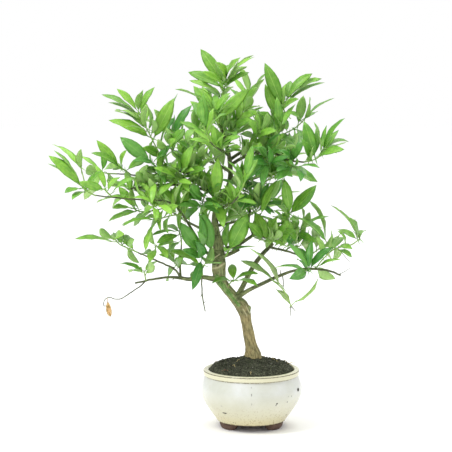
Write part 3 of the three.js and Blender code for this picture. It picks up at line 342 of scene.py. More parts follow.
# Boughs, each on the one that it grows from: places across, down and behind, and the radius in mm
boughs = {
    "trunk": {"line": [
        [252.6, 384, 2, 8.5], [252.6, 369, 1, 12.5], [252.8, 358.5, 0, 16.2], [252.6, 353.5, 0, 14.2],
        [251.3, 346, 0, 10.2], [249.2, 337, 0, 9.6], [246.6, 323, 0, 9], [245, 314, 0, 9.8],
        [241.6, 306, 0, 11.6], [237, 300.5, 0, 9.8], [231.3, 294, 0, 8.3], [225.2, 286.5, 0, 8.2],
        [220.2, 279, 0, 9.8], [218.9, 270.5, 0, 11.7], [218.9, 262, 0, 11.8], [218.6, 252, 2, 10.4],
        [218, 241, 4, 8], [215.6, 230, 5, 5.6], [215, 220, 5, 5.4], [216.2, 211, 5, 5.4], [219.5, 202, 6, 5],
        [225, 194, 8, 4.8], [229, 186, 10, 4.7], [230.5, 176, 12, 4.3], [230, 164, 12, 3.8],
        [228, 150, 10, 3.2], [224, 136, 6, 2.6], [219, 123, 2, 2]]},
    "knob": {"on": "trunk", "line": [[243, 309, 0, 7.5], [246.9, 309.2, -1, 8.4], [250.3, 309.8, -1, 5.4]]},
    "rightSteep": {"on": "trunk", "line": [
        [238, 297, 0, 4.8], [243, 286, 6, 4.3], [249, 274, 14, 4], [256, 262.5, 22, 3.8],
        [263, 253.5, 28, 3.6], [273, 243.5, 34, 2.8]]},
    "rightSpur": {"on": "rightSteep", "line": [
        [270, 247.5, 32, 2.3], [275, 248.5, 33, 2.1], [286, 251, 38, 1.8], [297, 254.5, 44, 1.5],
        [306, 260, 48, 1.3]]},
    "rightLow": {"on": "trunk", "line": [
        [238, 296.5, 0, 4], [249, 290, -8, 3.5], [262, 283.8, -18, 3.2], [272, 279, -26, 3],
        [282, 274.8, -34, 2.7], [292, 271.2, -42, 2.4], [305, 268.7, -50, 2.1], [317, 269, -56, 1.9],
        [330, 271.2, -60, 1.7], [341, 275.5, -62, 1.5]]},
    "leftLow": {"on": "trunk", "line": [
        [219, 281, 0, 4.6], [211, 278.5, -4, 4.2], [203, 277.2, -10, 3.8], [190, 279.2, -20, 3.5],
        [181, 278, -26, 3.1], [170, 277.2, -32, 2.2], [158, 278.4, -36, 1.9], [145, 281, -40, 1.7],
        [135, 283, -42, 1.5]]},
    "leftRiser": {"on": "leftLow", "line": [
        [180.5, 278, -26, 2], [180.2, 268, -24, 1.8], [181, 256, -20, 1.5], [181.6, 244, -16, 1.2]]},
    "leftReach": {"on": "leftLow", "line": [
        [181, 277, -26, 2], [176, 270.5, -36, 1.7], [166, 264.8, -46, 1.6], [152, 258.6, -56, 1.4],
        [138, 252.6, -64, 1.2]]},
    "hangingTwig": {"on": "leftLow", "line": [
        [201.6, 278, -11, 1.3], [202, 288, -13, 1.1], [202.4, 297, -14, 1.2], [203.8, 305, -14, 1],
        [205, 311.5, -13, 0.9]]},
    "curledTwig": {"on": "leftLow", "line": [
        [146, 281, -40, 1.2], [139, 287, -42, 1], [129, 294, -44, 1], [121, 298.6, -45, 0.9],
        [115, 299.2, -45, 0.8], [109.5, 297.2, -44, 0.8], [105, 299.4, -42, 0.7], [103.4, 303, -40, 0.7],
        [104.4, 306.2, -38, 0.7], [107.6, 305, -37, 0.7]]},
    "cutStub": {"on": "trunk", "line": [[219, 258, 0, 3.6], [229, 254.2, -6, 3.3], [239, 249.4, -12, 3]]},
    "rightMid": {"on": "trunk", "line": [
        [219, 251, 2, 4.2], [228, 248, 10, 3.7], [236, 245.5, 16, 3.4], [243, 242, 22, 3.1],
        [254, 234.5, 32, 2.6]]},
    "rightMidUp": {"on": "rightMid", "line": [
        [253, 235, 31, 2.1], [249, 222, 26, 1.9], [251, 208, 22, 1.7], [256, 195, 18, 1.5],
        [262, 183, 12, 1.3]]},
    "rightMidOut": {"on": "rightMid", "line": [
        [253.5, 234.8, 32, 1.8], [263, 237, 42, 1.6], [275, 240, 52, 1.4], [290, 238.5, 64, 1.2]]},
    "leftMid": {"on": "trunk", "line": [
        [218.5, 261, 0, 3.4], [212, 256.8, -7, 3], [205, 250.5, -16, 2.7], [197, 238, -28, 2.4],
        [186, 220, -44, 2.1], [175, 204, -56, 1.8]]},
    "leftFar": {"on": "leftMid", "line": [
        [176, 205, -55, 1.6], [163, 200.8, -64, 1.5], [146, 199.8, -72, 1.4], [128, 199, -78, 1.3],
        [110, 197, -82, 1.2], [94, 195.6, -84, 1]]},
    "leftHigh": {"on": "trunk", "line": [
        [223, 197, 7, 3], [212, 192, -2, 2.7], [200, 188.5, -12, 2.5], [184, 186, -26, 2.2],
        [165, 184.6, -40, 1.9], [148, 186.2, -50, 1.6], [130, 188.6, -58, 1.3]]},
    "leftTop": {"on": "trunk", "line": [
        [219.5, 202, 6, 3], [212, 194.5, 4, 2.7], [203, 185, 2, 2.4], [192, 175.6, 0, 2.1],
        [180, 171.4, -3, 1.9], [168, 170.6, -6, 1.7]]},
    "leftTip": {"on": "leftTop", "line": [
        [169, 170.7, -6, 1.6], [158, 174, -10, 1.4], [144, 176.4, -16, 1.3], [130, 174.6, -22, 1.2],
        [116, 173.8, -28, 1]]},
    "rightHigh": {"on": "trunk", "line": [
        [230, 165, 12, 3.2], [240, 159, 2, 2.8], [252, 154, -8, 2.5], [264, 152, -16, 2.2],
        [276, 154, -22, 1.9], [290, 160.5, -28, 1.7], [304, 162, -34, 1.4]]},
    "rightTop": {"on": "trunk", "line": [
        [229.4, 160, 11, 3], [240, 153, 22, 2.7], [252, 149, 30, 2.4], [263, 148, 34, 2.1],
        [270, 140, 34, 1.9], [275, 128, 32, 1.6]]},
    "backHigh": {"on": "trunk", "line": [
        [227, 145, 9, 2.8], [232, 138, 34, 2.3], [238, 130, 62, 1.8], [243, 121, 86, 1.4]]},
    "backLeft": {"on": "trunk", "line": [
        [230, 172, 12, 3], [218, 165, 36, 2.5], [202, 158, 66, 2], [188, 150, 91, 1.5]]},
    "backRight": {"on": "trunk", "line": [
        [229.6, 183, 10, 3], [242, 181, 37, 2.5], [256, 178, 67, 2], [270, 172, 93, 1.5]]},
    "backLow": {"on": "trunk", "line": [
        [215.4, 226, 5, 3], [226, 224, 34, 2.5], [240, 220, 66, 2], [252, 214, 93, 1.5]]},
    "backLowLeft": {"on": "trunk", "line": [
        [216.6, 236, 5, 3], [204, 230, 34, 2.5], [188, 222, 66, 2], [172, 212, 91, 1.5]]},
    "frontHigh": {"on": "trunk", "line": [
        [229, 156, 11, 2.6], [224, 152, -24, 2.1], [217, 148, -58, 1.7], [210, 142, -86, 1.3]]},
    "frontMid": {"on": "trunk", "line": [
        [217, 209, 5, 2.8], [224, 207, -26, 2.3], [232, 203, -58, 1.8], [238, 197, -86, 1.4]]},
}
# Leafy stems. A leaf is where it starts, as a share of the stem, its tip across and down, and how broad it
# looks. More of them stand in a spiral, and a side stem starts on the main one.
stems = {
    "apex": {"tone": "young", "on": "trunk",
        "line": [[219, 123, 2], [220.5, 112, 4], [222.5, 100, 6], [224.5, 88, 8], [226, 78, 8]],
        "leaves": [
            [0.92, 200.5, 49, 1], [1, 215, 61, 0.8], [1, 231, 64, 0.6], [1, 238.5, 57, 0.6],
            [0.96, 254, 55, 0.35], [0.86, 247, 66, 0.7], [0.8, 249, 72, 0.4], [0.84, 188, 72.5, 0.8],
            [0.88, 201.5, 71.5, 0.7], [0.58, 189, 81, 0.7], [0.5, 204, 87, 0.8], [0.62, 226, 74, 0.6],
            [0.4, 233, 86, 0.5]]},
    "apexFront": {"on": "trunk", "more": 1,
        "line": [[221.5, 130, 4], [218, 125, -12], [216, 119, -22], [214.5, 111, -28]],
        "leaves": [
            [0.9, 196.5, 89, 1], [0.55, 190, 101, 1], [1, 175, 88.5, 0.25], [1, 231, 93, 0.7],
            [0.6, 249, 88.5, 1], [1, 217, 94, 0.9], [0.4, 206, 100, 0.8]]},
    "apexRight": {"on": "trunk", "more": 3,
        "line": [[225, 140, 7], [232, 131, 4], [239, 121, 0], [243, 110, -4]],
        "leaves": [
            [1, 251, 96, 0.9], [0.8, 258.5, 78, 0.35], [0.6, 258, 111.5, 0.8], [0.4, 251, 119, 0.8],
            [0.9, 236, 91, 0.6], [0.3, 243, 132, 0.6]]},
    "topRight": {"tone": "young", "on": "rightTop", "more": 2,
        "line": [[274.6, 129, 32], [281, 114, 28], [286.5, 100, 26]],
        "leaves": [
            [0.7, 264.8, 62.8, 1], [0.3, 265, 84, 1], [1, 291, 80, 1], [1, 312, 73, 0.7],
            [0.93, 321, 78.5, 0.7], [0.62, 299, 99, 0.6], [0.4, 290, 118, 0.7], [0.1, 258, 113, 0.9]]},
    "topRightOut": {"on": "rightTop", "more": 1,
        "line": [[269.8, 140.5, 34], [279, 136, 30], [289, 131.5, 26], [297, 126.5, 22], [304, 120, 18]],
        "leaves": [
            [1, 335, 98, 0.2], [0.78, 303.5, 95.5, 1.1], [0.9, 288, 113, 0.6], [0.72, 299, 148, 0.6],
            [0.45, 281, 120, 0.9], [0.5, 287, 150, 0.7], [0.6, 301, 137, 0.5]]},
    "rightEnd": {"on": "rightHigh", "more": 1,
        "line": [[303, 162, -34], [311, 160.8, -37], [319, 157, -40], [324, 150, -42]],
        "leaves": [
            [0.55, 304, 121, 1.2], [0.95, 313, 122, 0.6], [1, 327, 125, 0.7], [1, 345, 118, 0.4],
            [1, 339, 130, 0.8], [0.8, 351, 139, 0.35], [0.7, 348, 145, 0.4], [0.6, 337, 152, 0.25],
            [0.35, 302, 139, 0.9]]},
    "rightUnder": {"tone": "old", "on": "rightHigh", "more": 2,
        "line": [[288, 159.6, -27], [291, 165, -36], [296, 168, -44]],
        "leaves": [[1, 320, 167, 0.25], [0.8, 276, 172, 0.5], [1, 308, 177.5, 0.55], [0.5, 279, 150, 0.8]]},
    "rightInner": {"tone": "old", "on": "rightHigh", "more": 4,
        "line": [[262, 152, -15], [266, 158, -32], [269, 165, -46]],
        "leaves": [
            [1, 268, 146, 0.8], [0.9, 285, 167, 0.6], [0.7, 250, 168, 0.9], [1, 262, 186, 0.9],
            [0.5, 256, 148, 0.7]]},
    "rightCrown": {"on": "rightHigh", "more": 1,
        "line": [[250, 154.6, -7], [254, 143, -16], [259, 132, -24]],
        "leaves": [
            [1, 268, 113, 0.8], [0.9, 247, 116, 0.8], [0.7, 276, 130, 0.7], [0.6, 240, 134, 0.7],
            [0.4, 262, 150, 0.8], [1, 257, 108, 0.5]]},
    "rightFront": {"on": "rightTop",
        "line": [[260, 148.2, 34], [268, 142, 14], [275, 135, -4], [281, 129, -18]],
        "leaves": [
            [1, 296, 104, 0.7], [0.9, 277, 97, 0.9], [0.75, 262, 118, 0.8], [0.6, 297, 146, 0.7],
            [0.4, 257, 133, 0.7]]},
    "archRight": {"tone": "young", "on": "rightMidUp", "more": 2,
        "line": [[261, 185, 12], [268, 180, -4], [276, 177, -16], [284, 175.5, -24]],
        "leaves": [
            [1, 290, 212, 1.1], [0.85, 262, 213, 0.6], [0.9, 279, 210, 0.35], [0.6, 303, 174, 0.6],
            [0.5, 252, 170, 0.7]]},
    "rightMiddle": {"on": "rightMidOut", "more": 1,
        "line": [[281, 239.3, 56], [285, 228, 30], [289, 215, 12]],
        "leaves": [
            [1, 316.5, 185, 1.1], [0.95, 284, 242, 1.1], [0.7, 273, 216, 0.7], [0.8, 298, 222, 0.8],
            [1, 272, 198, 0.8], [0.5, 296, 240, 0.8]]},
    "rightFan": {"on": "rightMidOut", "line": [[289, 238.6, 63], [296, 233, 54], [302, 228, 46]],
        "leaves": [
            [1, 329, 215.5, 0.35], [0.9, 323, 228, 0.5], [1, 310, 213, 0.9], [0.85, 289.5, 243.5, 0.7],
            [0.7, 317, 242, 1], [1, 302, 206, 0.4]]},
    "rightStem": {"tone": "young", "on": "rightMid",
        "line": [[252, 236, 31], [259, 239, 6], [267, 241, -14], [273, 242, -26]],
        "leaves": [[1, 281, 231, 1], [0.75, 255, 212.5, 1.3], [0.9, 288, 248, 0.5], [0.5, 247, 222, 0.9]]},
    "rightRise": {"tone": "old", "on": "rightMidUp", "more": 3,
        "line": [[250, 214, 24], [257, 209, 8], [261, 203, -6]],
        "leaves": [
            [1, 269, 189, 0.5], [0.9, 242, 210, 0.6], [0.8, 259, 182, 0.8], [0.6, 275, 214, 0.7],
            [1, 272, 199, 0.6]]},
    "upperRight": {"tone": "old", "on": "rightMidUp", "more": 3,
        "line": [[255, 197, 18], [247, 192, 6], [240, 190, -8]],
        "leaves": [[1, 228, 200, 0.8], [0.7, 262, 183, 0.7], [0.8, 240, 170, 0.8], [1, 243, 215, 0.8]]},
    "lowCluster": {"tone": "old", "on": "rightLow",
        "line": [[303, 268.8, -50], [306.5, 270.5, -62], [310, 271.5, -72]],
        "leaves": [
            [1, 288.5, 244, 0.55], [0.7, 297, 258.5, 0.6], [0.8, 273.5, 267.5, 0.4], [0.6, 289, 279, 1],
            [1, 312, 240, 0.9], [1, 332.5, 246, 0.7]]},
    "lowTip": {"tone": "young", "on": "rightLow",
        "line": [[316, 269, -56], [319, 264, -44], [324, 258, -34], [333, 250, -26], [345, 246, -20]],
        "leaves": [
            [0.1, 341, 260, 0.4], [0.1, 335, 279, 0.9], [0.45, 316, 236, 0.7], [0.55, 331, 229.5, 0.3],
            [0.7, 346, 240, 1.2], [0.85, 333, 260, 0.9], [1, 338, 231, 0.4], [0.75, 352, 257, 0.4]],
        "sides": [{"line": [[345, 246, -20], [352, 244.5, -20], [357, 241, -22], [360, 239, -24]],
            "leaves": [
                [0.9, 331, 204.5, 0.35], [0.8, 336.5, 229, 0.8], [1, 365, 230.5, 0.5],
                [0.75, 349, 217, 0.4]]}]},
    "greyLeaf": {"tone": "old", "on": "rightSpur",
        "line": [[304, 258.8, 47], [312, 254, 54], [320, 248, 58], [326, 244, 60]],
        "leaves": [
            [1, 307, 203, 0.55], [0.5, 313, 228, 0.9], [0.8, 341, 232, 0.5], [0.3, 302, 243, 0.8],
            [0.6, 332, 262, 0.5]]},
    "spurStem": {"tone": "old", "on": "rightSpur",
        "line": [[285, 250.8, 38], [291, 247, 50], [299, 246, 62]],
        "leaves": [[1, 318, 236, 0.8], [0.7, 280, 232, 0.7], [0.8, 309, 262, 0.8], [1, 296, 226, 0.6]]},
    "droopingStem": {"on": "rightLow",
        "line": [
            [271, 279.5, -26], [278, 284.5, -36], [284, 291, -44], [288.5, 299, -50], [291, 306.5, -54]],
        "leaves": [[0.36, 249, 247, 0.4], [0.26, 240, 261, 0.3], [1, 274, 288, 0.7], [1, 320, 278, 0.18]]},
    "trunkSprig": {"tone": "young", "on": "trunk",
        "line": [[227, 288.5, 0], [230.5, 282.5, -11], [234, 281, -18]],
        "leaves": [[1, 231.5, 264, 1.2], [0.9, 258.5, 273, 0.4], [1, 258, 285, 0.3], [0.8, 212, 283, 0.5]]},
    "bigLeafStem": {"on": "rightMid", "more": 2, "line": [[227, 248.2, 9], [226, 251, -14], [228, 252, -30]],
        "leaves": [[1, 248, 214, 1.5], [0.9, 257, 247, 0.35]]},
    "darkPair": {"tone": "old", "on": "leftHigh", "more": 2,
        "line": [[207, 190.5, -6], [204, 198, -24], [201, 208, -40]],
        "leaves": [
            [1, 211.5, 250, 1.25], [0.95, 181, 220, 0.9], [0.7, 189, 186, 0.5], [0.8, 222, 208, 0.6],
            [0.4, 184, 188, 0.25]]},
    "trunkLeft": {"tone": "old", "on": "leftMid", "more": 2,
        "line": [[198, 239.6, -27], [200, 250, -40], [202, 259, -50]],
        "leaves": [
            [0.9, 180, 222, 1.3], [1, 182, 249, 0.9], [0.8, 195, 208, 1.1], [1, 196, 242, 0.9],
            [1, 222, 262, 0.3]]},
    "trunkFront": {"on": "trunk", "more": 3, "line": [[218.9, 200, 6], [217, 203, -16], [215.6, 200, -34]],
        "leaves": [
            [1, 218, 158, 1.1], [0.9, 254.5, 191, 0.7], [0.8, 239, 216, 0.5], [0.9, 198, 216, 0.8],
            [1, 200, 170, 0.8]]},
    "leftCentre": {"on": "leftTop", "more": 2,
        "line": [[197, 179.8, 1], [191, 176, -18], [184, 176, -36], [177, 181, -50]],
        "leaves": [
            [0.9, 168, 171, 1.5], [0.7, 193, 145, 0.8], [1, 174, 214, 0.8], [0.5, 205, 168, 0.8],
            [0.6, 190, 200, 0.7]]},
    "leftRise": {"on": "leftTop", "more": 2,
        "line": [[188, 173.8, -1], [181, 163, -10], [174, 154, -20], [170, 147, -28]],
        "leaves": [
            [1, 185, 128.5, 1], [1, 157, 141, 0.9], [0.9, 188, 162, 0.4], [0.7, 177, 131, 0.8],
            [0.8, 164, 124, 0.6], [0.5, 176, 168, 0.6], [0.4, 195, 146, 0.9], [0.25, 172, 150, 0.9]]},
    "leftRiseTop": {"on": "leftTop", "more": 1,
        "line": [[200, 182.4, 2], [196, 168, -4], [191, 153, -8], [184, 141, -10]],
        "leaves": [
            [0.92, 191, 105, 0.9], [0.85, 194, 129, 0.8], [0.7, 209, 133, 0.4], [0.6, 178, 141, 0.5],
            [0.5, 204, 146, 0.9], [0.35, 186, 150, 0.6], [0.2, 209, 158, 0.8]]},
    "leftCrown": {"tone": "young", "on": "leftTop", "more": 3,
        "line": [
            [168.6, 170.6, -6], [163, 160, -8], [157, 149, -12], [152, 139, -16], [147, 129, -20],
            [142.5, 120, -22], [138, 112, -24]],
        "leaves": [
            [1, 116.5, 89, 0.7], [0.95, 154, 86.5, 0.8], [0.72, 141, 98, 0.9], [0.92, 104, 98, 0.25],
            [0.8, 114.5, 110, 0.5], [0.5, 109, 119, 0.8], [0.48, 174, 98, 1.1], [0.62, 147, 106, 0.3],
            [0.55, 153, 119, 0.8], [0.2, 142, 147.5, 0.8]]},
    "leftDark": {"tone": "old", "on": "leftTip", "more": 2,
        "line": [[160, 173.4, -9], [156, 168, -26], [152, 163, -40]],
        "leaves": [[1, 120, 137, 1.2], [0.9, 153, 141, 0.6], [0.7, 165, 186, 0.7], [1, 134, 160, 0.7]]},
    "leftBright": {"tone": "young", "on": "leftTip",
        "line": [[131, 174.7, -22], [126, 171, -34], [120, 168, -44]],
        "leaves": [
            [1, 96.5, 140, 1], [0.9, 127, 150, 0.5], [0.8, 110, 164, 0.9], [0.6, 129, 191, 0.8],
            [0.5, 145, 160, 0.9], [1, 105, 169, 0.7]]},
    "leftTipEnd": {"on": "leftTip", "line": [[117, 173.8, -28], [108, 173.4, -36], [100, 172, -42]],
        "leaves": [
            [1, 76.5, 154.5, 0.5], [1, 102.5, 150, 0.8], [0.9, 86, 169, 1], [0.7, 93, 190, 0.8],
            [0.5, 118, 186, 0.7]]},
    "farEnd": {"on": "leftFar", "line": [[96, 195.7, -84], [90, 193, -86], [85, 190, -88], [82, 187, -90]],
        "leaves": [[1, 49, 155, 0.9], [0.8, 64.5, 193.5, 0.4], [0.5, 72, 200, 0.5], [0.6, 102, 171, 0.7]],
        "sides": [{"line": [[86, 191, -87], [84, 180, -80], [81, 168, -74]],
            "leaves": [[1, 52, 143.5, 0.55], [0.85, 80, 148, 0.8]]}]},
    "farMid": {"on": "leftFar", "more": 1, "line": [[112, 197.2, -82], [108, 193, -92], [104, 189, -102]],
        "leaves": [[1, 75, 178, 1], [0.9, 95, 164, 0.8], [0.6, 120, 176, 0.7], [1, 84, 199, 0.5]]},
    "farBack": {"on": "leftFar", "line": [[129, 199, -78], [130, 194, -62], [133, 188, -48]],
        "leaves": [
            [1, 147, 165, 1], [0.9, 129, 166, 0.7], [0.7, 106, 181, 0.35], [0.8, 146, 192, 0.6],
            [0.5, 112, 208, 0.5]]},
    "leftNear": {"on": "leftFar", "more": 1, "line": [[163, 200.8, -64], [158, 205, -80], [152, 207, -94]],
        "leaves": [
            [0.9, 133, 197.5, 0.9], [1, 155, 182, 0.9], [1, 156, 220, 0.7], [0.8, 143, 214, 0.8],
            [0.6, 172, 214, 0.6]]},
    "leftWing": {"on": "leftMid", "more": 2,
        "line": [
            [175.6, 204.8, -56], [166, 207.6, -52], [153, 210.8, -48], [140, 211.4, -44], [133, 208, -42]],
        "leaves": [
            [1, 95.5, 203, 0.6], [0.95, 126.5, 193, 0.9], [0.8, 111.5, 221, 0.7], [0.9, 112, 209, 0.3],
            [0.5, 134, 226, 0.6], [0.3, 160, 231, 0.6], [0.6, 149, 192, 0.8]]},
    "leftPale": {"tone": "young", "on": "leftMid",
        "line": [[182, 213.8, -48], [172, 215.5, -66], [163, 217.8, -80], [156, 220, -92]],
        "leaves": [
            [1, 121, 225, 0.2], [1, 146, 251, 0.45], [0.9, 144, 219, 0.4], [0.6, 178, 205, 0.6],
            [0.7, 150, 232, 0.5], [0.4, 168, 233, 0.6]]},
    "leftDroop": {"tone": "young", "on": "leftRiser",
        "line": [[181.5, 245, -16], [181, 238, -26], [179, 231, -36]],
        "leaves": [
            [1, 151, 236, 0.35], [0.8, 156.5, 243.5, 0.8], [1, 165, 226.5, 0.5], [1, 181, 206, 0.6],
            [0.6, 197, 252, 0.7], [0.3, 167, 258, 0.6]]},
    "leftRiserStem": {"tone": "young", "on": "leftRiser",
        "line": [[180.2, 268, -24], [177, 266, -12], [175, 262, -2]],
        "leaves": [
            [1, 172.5, 236, 0.7], [0.8, 157, 245, 0.5], [1, 194, 249, 0.8], [0.7, 168, 281, 0.5],
            [1, 188, 265, 0.6]]},
    "reachEnd": {"tone": "young", "on": "leftReach",
        "line": [[139, 253, -64], [129, 248.6, -70], [120, 244.6, -74], [114.5, 239, -78]],
        "leaves": [
            [1, 99.5, 229, 0.9], [0.75, 74.5, 239.5, 0.2], [0.6, 130.5, 237, 1], [0.3, 135, 239, 0.8],
            [0.4, 140, 263, 0.8], [1, 123, 234, 0.5], [0.9, 103, 237.5, 0.4]]},
    "reachMid": {"tone": "young", "on": "leftReach",
        "line": [[153, 259, -56], [155, 252, -64], [156, 245, -70]],
        "leaves": [
            [0.9, 149.5, 262.5, 0.9], [1, 168, 258, 0.7], [1, 146, 232, 0.5], [0.4, 141, 255, 0.6],
            [1, 174, 245, 0.5]]},
    "lowLeft": {"on": "leftLow", "line": [[146, 280.8, -40], [145, 276, -50], [144, 271, -58]],
        "leaves": [[0.6, 148, 262, 1.2], [1, 118.5, 263, 0.6], [0.9, 129, 272, 0.4], [1, 160, 261, 0.5]]},
    "lowInner": {"on": "leftLow", "line": [[203, 277.2, -10], [202, 270, -22], [203, 266, -34]],
        "leaves": [[1, 157, 245, 0.5], [0.8, 186, 265, 0.6], [1, 212, 246, 0.5], [0.5, 192, 280, 0.5]]},
    "backCrown": {"on": "backHigh", "more": 7, "line": [[242.4, 122, 85], [246, 110, 96], [249, 98, 104]]},
    "backCrownLeft": {"on": "backHigh", "more": 7, "line": [[235, 134, 48], [222, 122, 61], [211, 110, 70]]},
    "backShoulder": {"tone": "old", "on": "backLeft", "more": 8,
        "line": [[190, 151.4, 88], [178, 142, 99], [166, 134, 109]]},
    "backShoulderUp": {"on": "backLeft", "more": 7,
        "line": [[205, 159, 61], [200, 144, 74], [196, 130, 85]]},
    "backWing": {"tone": "old", "on": "backRight", "more": 8,
        "line": [[268, 173, 90], [282, 163, 102], [295, 152, 112]]},
    "backWingUp": {"on": "backRight", "more": 7, "line": [[255, 178.4, 64], [263, 160, 77], [270, 144, 86]]},
    "backSkirt": {"tone": "old", "on": "backLow", "more": 7,
        "line": [[250, 215, 90], [263, 208, 104], [275, 200, 115]]},
    "backSkirtLeft": {"tone": "old", "on": "backLowLeft", "more": 8,
        "line": [[174, 213.2, 88], [160, 204, 101], [147, 196, 110]]},
    "frontCrown": {"on": "frontHigh", "more": 6,
        "line": [[211, 142.8, -83], [207, 134, -98], [204, 126, -108]]},
    "frontHeart": {"on": "frontMid", "more": 6,
        "line": [[237, 198, -83], [242, 188, -98], [246, 178, -108]]},
}

leafPlan = {
    "length": 60, "spread": 0.15, "slimness": 0.31, "stalk": 0.1, "fold": 0.3, "bow": 0.075, "apart": 3,
    "outline": (3.45, 0.85, 0.78, 0.22),
}
# Room in mm: what a leaf keeps clear of others and of its own stem, and the balls that stand for wood
roomPlan = {"cell": 12, "leafClear": 3.1, "ownStem": 3.2, "ballStep": 4, "stem": 1.9}
probePlan = {"foot": (0.03, 0.08), "start": 0.13, "steps": 11, "across": (-0.95, -0.5, 0, 0.5, 0.95)}
# What a drawn leaf tries: other lengths, nearer or farther, other turns, and its tip a little aside
tryPlan = {
    "stretch": (1, 1.08, 0.92, 1.16, 0.85, -1, -1.08, -0.92, -1.16, -0.85),
    "roll": (0, 0.35, -0.35, 0.7),
    "shift": ((0, 0), (3, -3), (-3, -3), (4, 4), (-4, 4), (0, -6), (0, 6)),
    "faceUp": 0.7,
}
# A spiral: its turn, how far leaves open low and high on the stem, and what each leaf tries, in radians
spiralPlan = {
    "golden": 2.39996, "low": 1.05, "high": 0.55, "jitter": 0.22, "rise": 0.35, "start": 0.22, "end": 0.97,
    "open": (0, 0.3, -0.25), "nudge": (0, 0.35, -0.35, 0.7, -0.7, 1.05, -1.05, 1.4), "faceUp": 1.2,
}
drawPlan = {"factor": 48271, "modulus": 2147483647, "seed": 1000, "seedStep": 77, "frontSeed": 77}
boughSteps = 200  # in which a bough is measured
stemSteps = 40    # in which a start is looked for
skyward = (0.0, 0.0, 1.0)
toViewer = (0.0, -math.cos(view["tilt"]), math.sin(view["tilt"]))


# Points are plain triples here, because Vector rounds to 32 bits and a leaf would then find other room.
def plus(a, b, times=1.0):
    return (a[0] + b[0] * times, a[1] + b[1] * times, a[2] + b[2] * times)


def minus(a, b):
    return (a[0] - b[0], a[1] - b[1], a[2] - b[2])


def dot(a, b):
    return a[0] * b[0] + a[1] * b[1] + a[2] * b[2]


def cross(a, b):
    return (a[1] * b[2] - a[2] * b[1], a[2] * b[0] - a[0] * b[2], a[0] * b[1] - a[1] * b[0])


def lengthOf(a):
    return math.sqrt(dot(a, a))


def unit(a):
    share = 1 / (lengthOf(a) or 1)
    return (a[0] * share, a[1] * share, a[2] * share)


def squareTo(a, axis):
    return unit(plus(a, axis, -dot(a, axis)))


def turned(a, axis, angle):
    s = math.sin(angle / 2)
    w = math.cos(angle / 2)
    q = (axis[0] * s, axis[1] * s, axis[2] * s)
    t = cross(q, a)
    t = (2 * t[0], 2 * t[1], 2 * t[2])
    return plus(plus(a, t, w), cross(q, t))


def behind(across, down, y):
    right = (across - view["middle"]) * view["step"]
    rise = (view["middle"] - down) * view["step"]
    sin = math.sin(view["tilt"])
    cos = math.cos(view["tilt"])
    eyeY = -view["distance"] * cos
    eyeZ = view["aimZ"] + view["distance"] * sin
    share = (y - eyeY) / (view["distance"] * cos + rise * sin)
    return (view["aimX"] + right * share, y, eyeZ + (rise * cos - view["distance"] * sin) * share)


def inDepth(spot):
    return behind(spot[0], spot[1], spot[2] * crownDepth)


# A smooth line through its points
class Bough:
    def __init__(self, points):
        self.points = points
        self.spots = [self.at(i / boughSteps) for i in range(boughSteps + 1)]
        self.length = sum(lengthOf(minus(q, p)) for p, q in zip(self.spots, self.spots[1:]))

    def at(self, share):
        last = len(self.points) - 1
        p = last * share
        n = math.floor(p)
        w = p - n
        if w == 0 and n == last:
            n, w = last - 1, 1
        b, c = self.points[n], self.points[n + 1]
        a = self.points[n - 1] if n > 0 else plus(minus(b, c), b)
        d = self.points[n + 2] if n + 2 <= last else plus(minus(c, b), c)
        found = []
        for i in range(3):
            start, end = 0.5 * (c[i] - a[i]), 0.5 * (d[i] - b[i])
            bend = -3 * b[i] + 3 * c[i] - 2 * start - end
            hook = 2 * b[i] - 2 * c[i] + start + end
            found.append(b[i] + start * w + bend * w * w + hook * w * w * w)
        return tuple(found)

    def heading(self, share):
        return unit(minus(self.at(min(1, share + 0.0001)), self.at(max(0, share - 0.0001))))

    def nearest(self, point):
        return min(self.spots, key=lambda p: dot(minus(p, point), minus(p, point)))


grown = {}


def growBough(name, line, on):
    points = [inDepth(spot) for spot in line]
    if on:
        points[0] = grown[on].nearest(points[0])
    bough = Bough(points)
    if name:
        grown[name] = bough
    return bough


# What has grown already, as balls. Each ball is listed in its own cell and in the cells around it.
takenRoom = {}


def cellOf(point):
    size = roomPlan["cell"]
    return (math.floor(point[0] / size), math.floor(point[1] / size), math.floor(point[2] / size))


def takeRoom(point, radius, owner):
    x, y, z = cellOf(point)
    for i in (x - 1, x, x + 1):
        for j in (y - 1, y, y + 1):
            for k in (z - 1, z, z + 1):
                takenRoom.setdefault((i, j, k), []).append((point, radius, owner))


def isClear(point, own, atFoot):
    for spot, radius, owner in takenRoom.get(cellOf(point), ()):
        if owner == own:
            if atFoot:
                continue
            wanted = roomPlan["ownStem"] if radius > 0 else roomPlan["leafClear"]
        else:
            wanted = roomPlan["leafClear"] + radius
        x, y, z = spot[0] - point[0], spot[1] - point[1], spot[2] - point[2]
        if x * x + y * y + z * z < wanted * wanted:
            return False
    return True


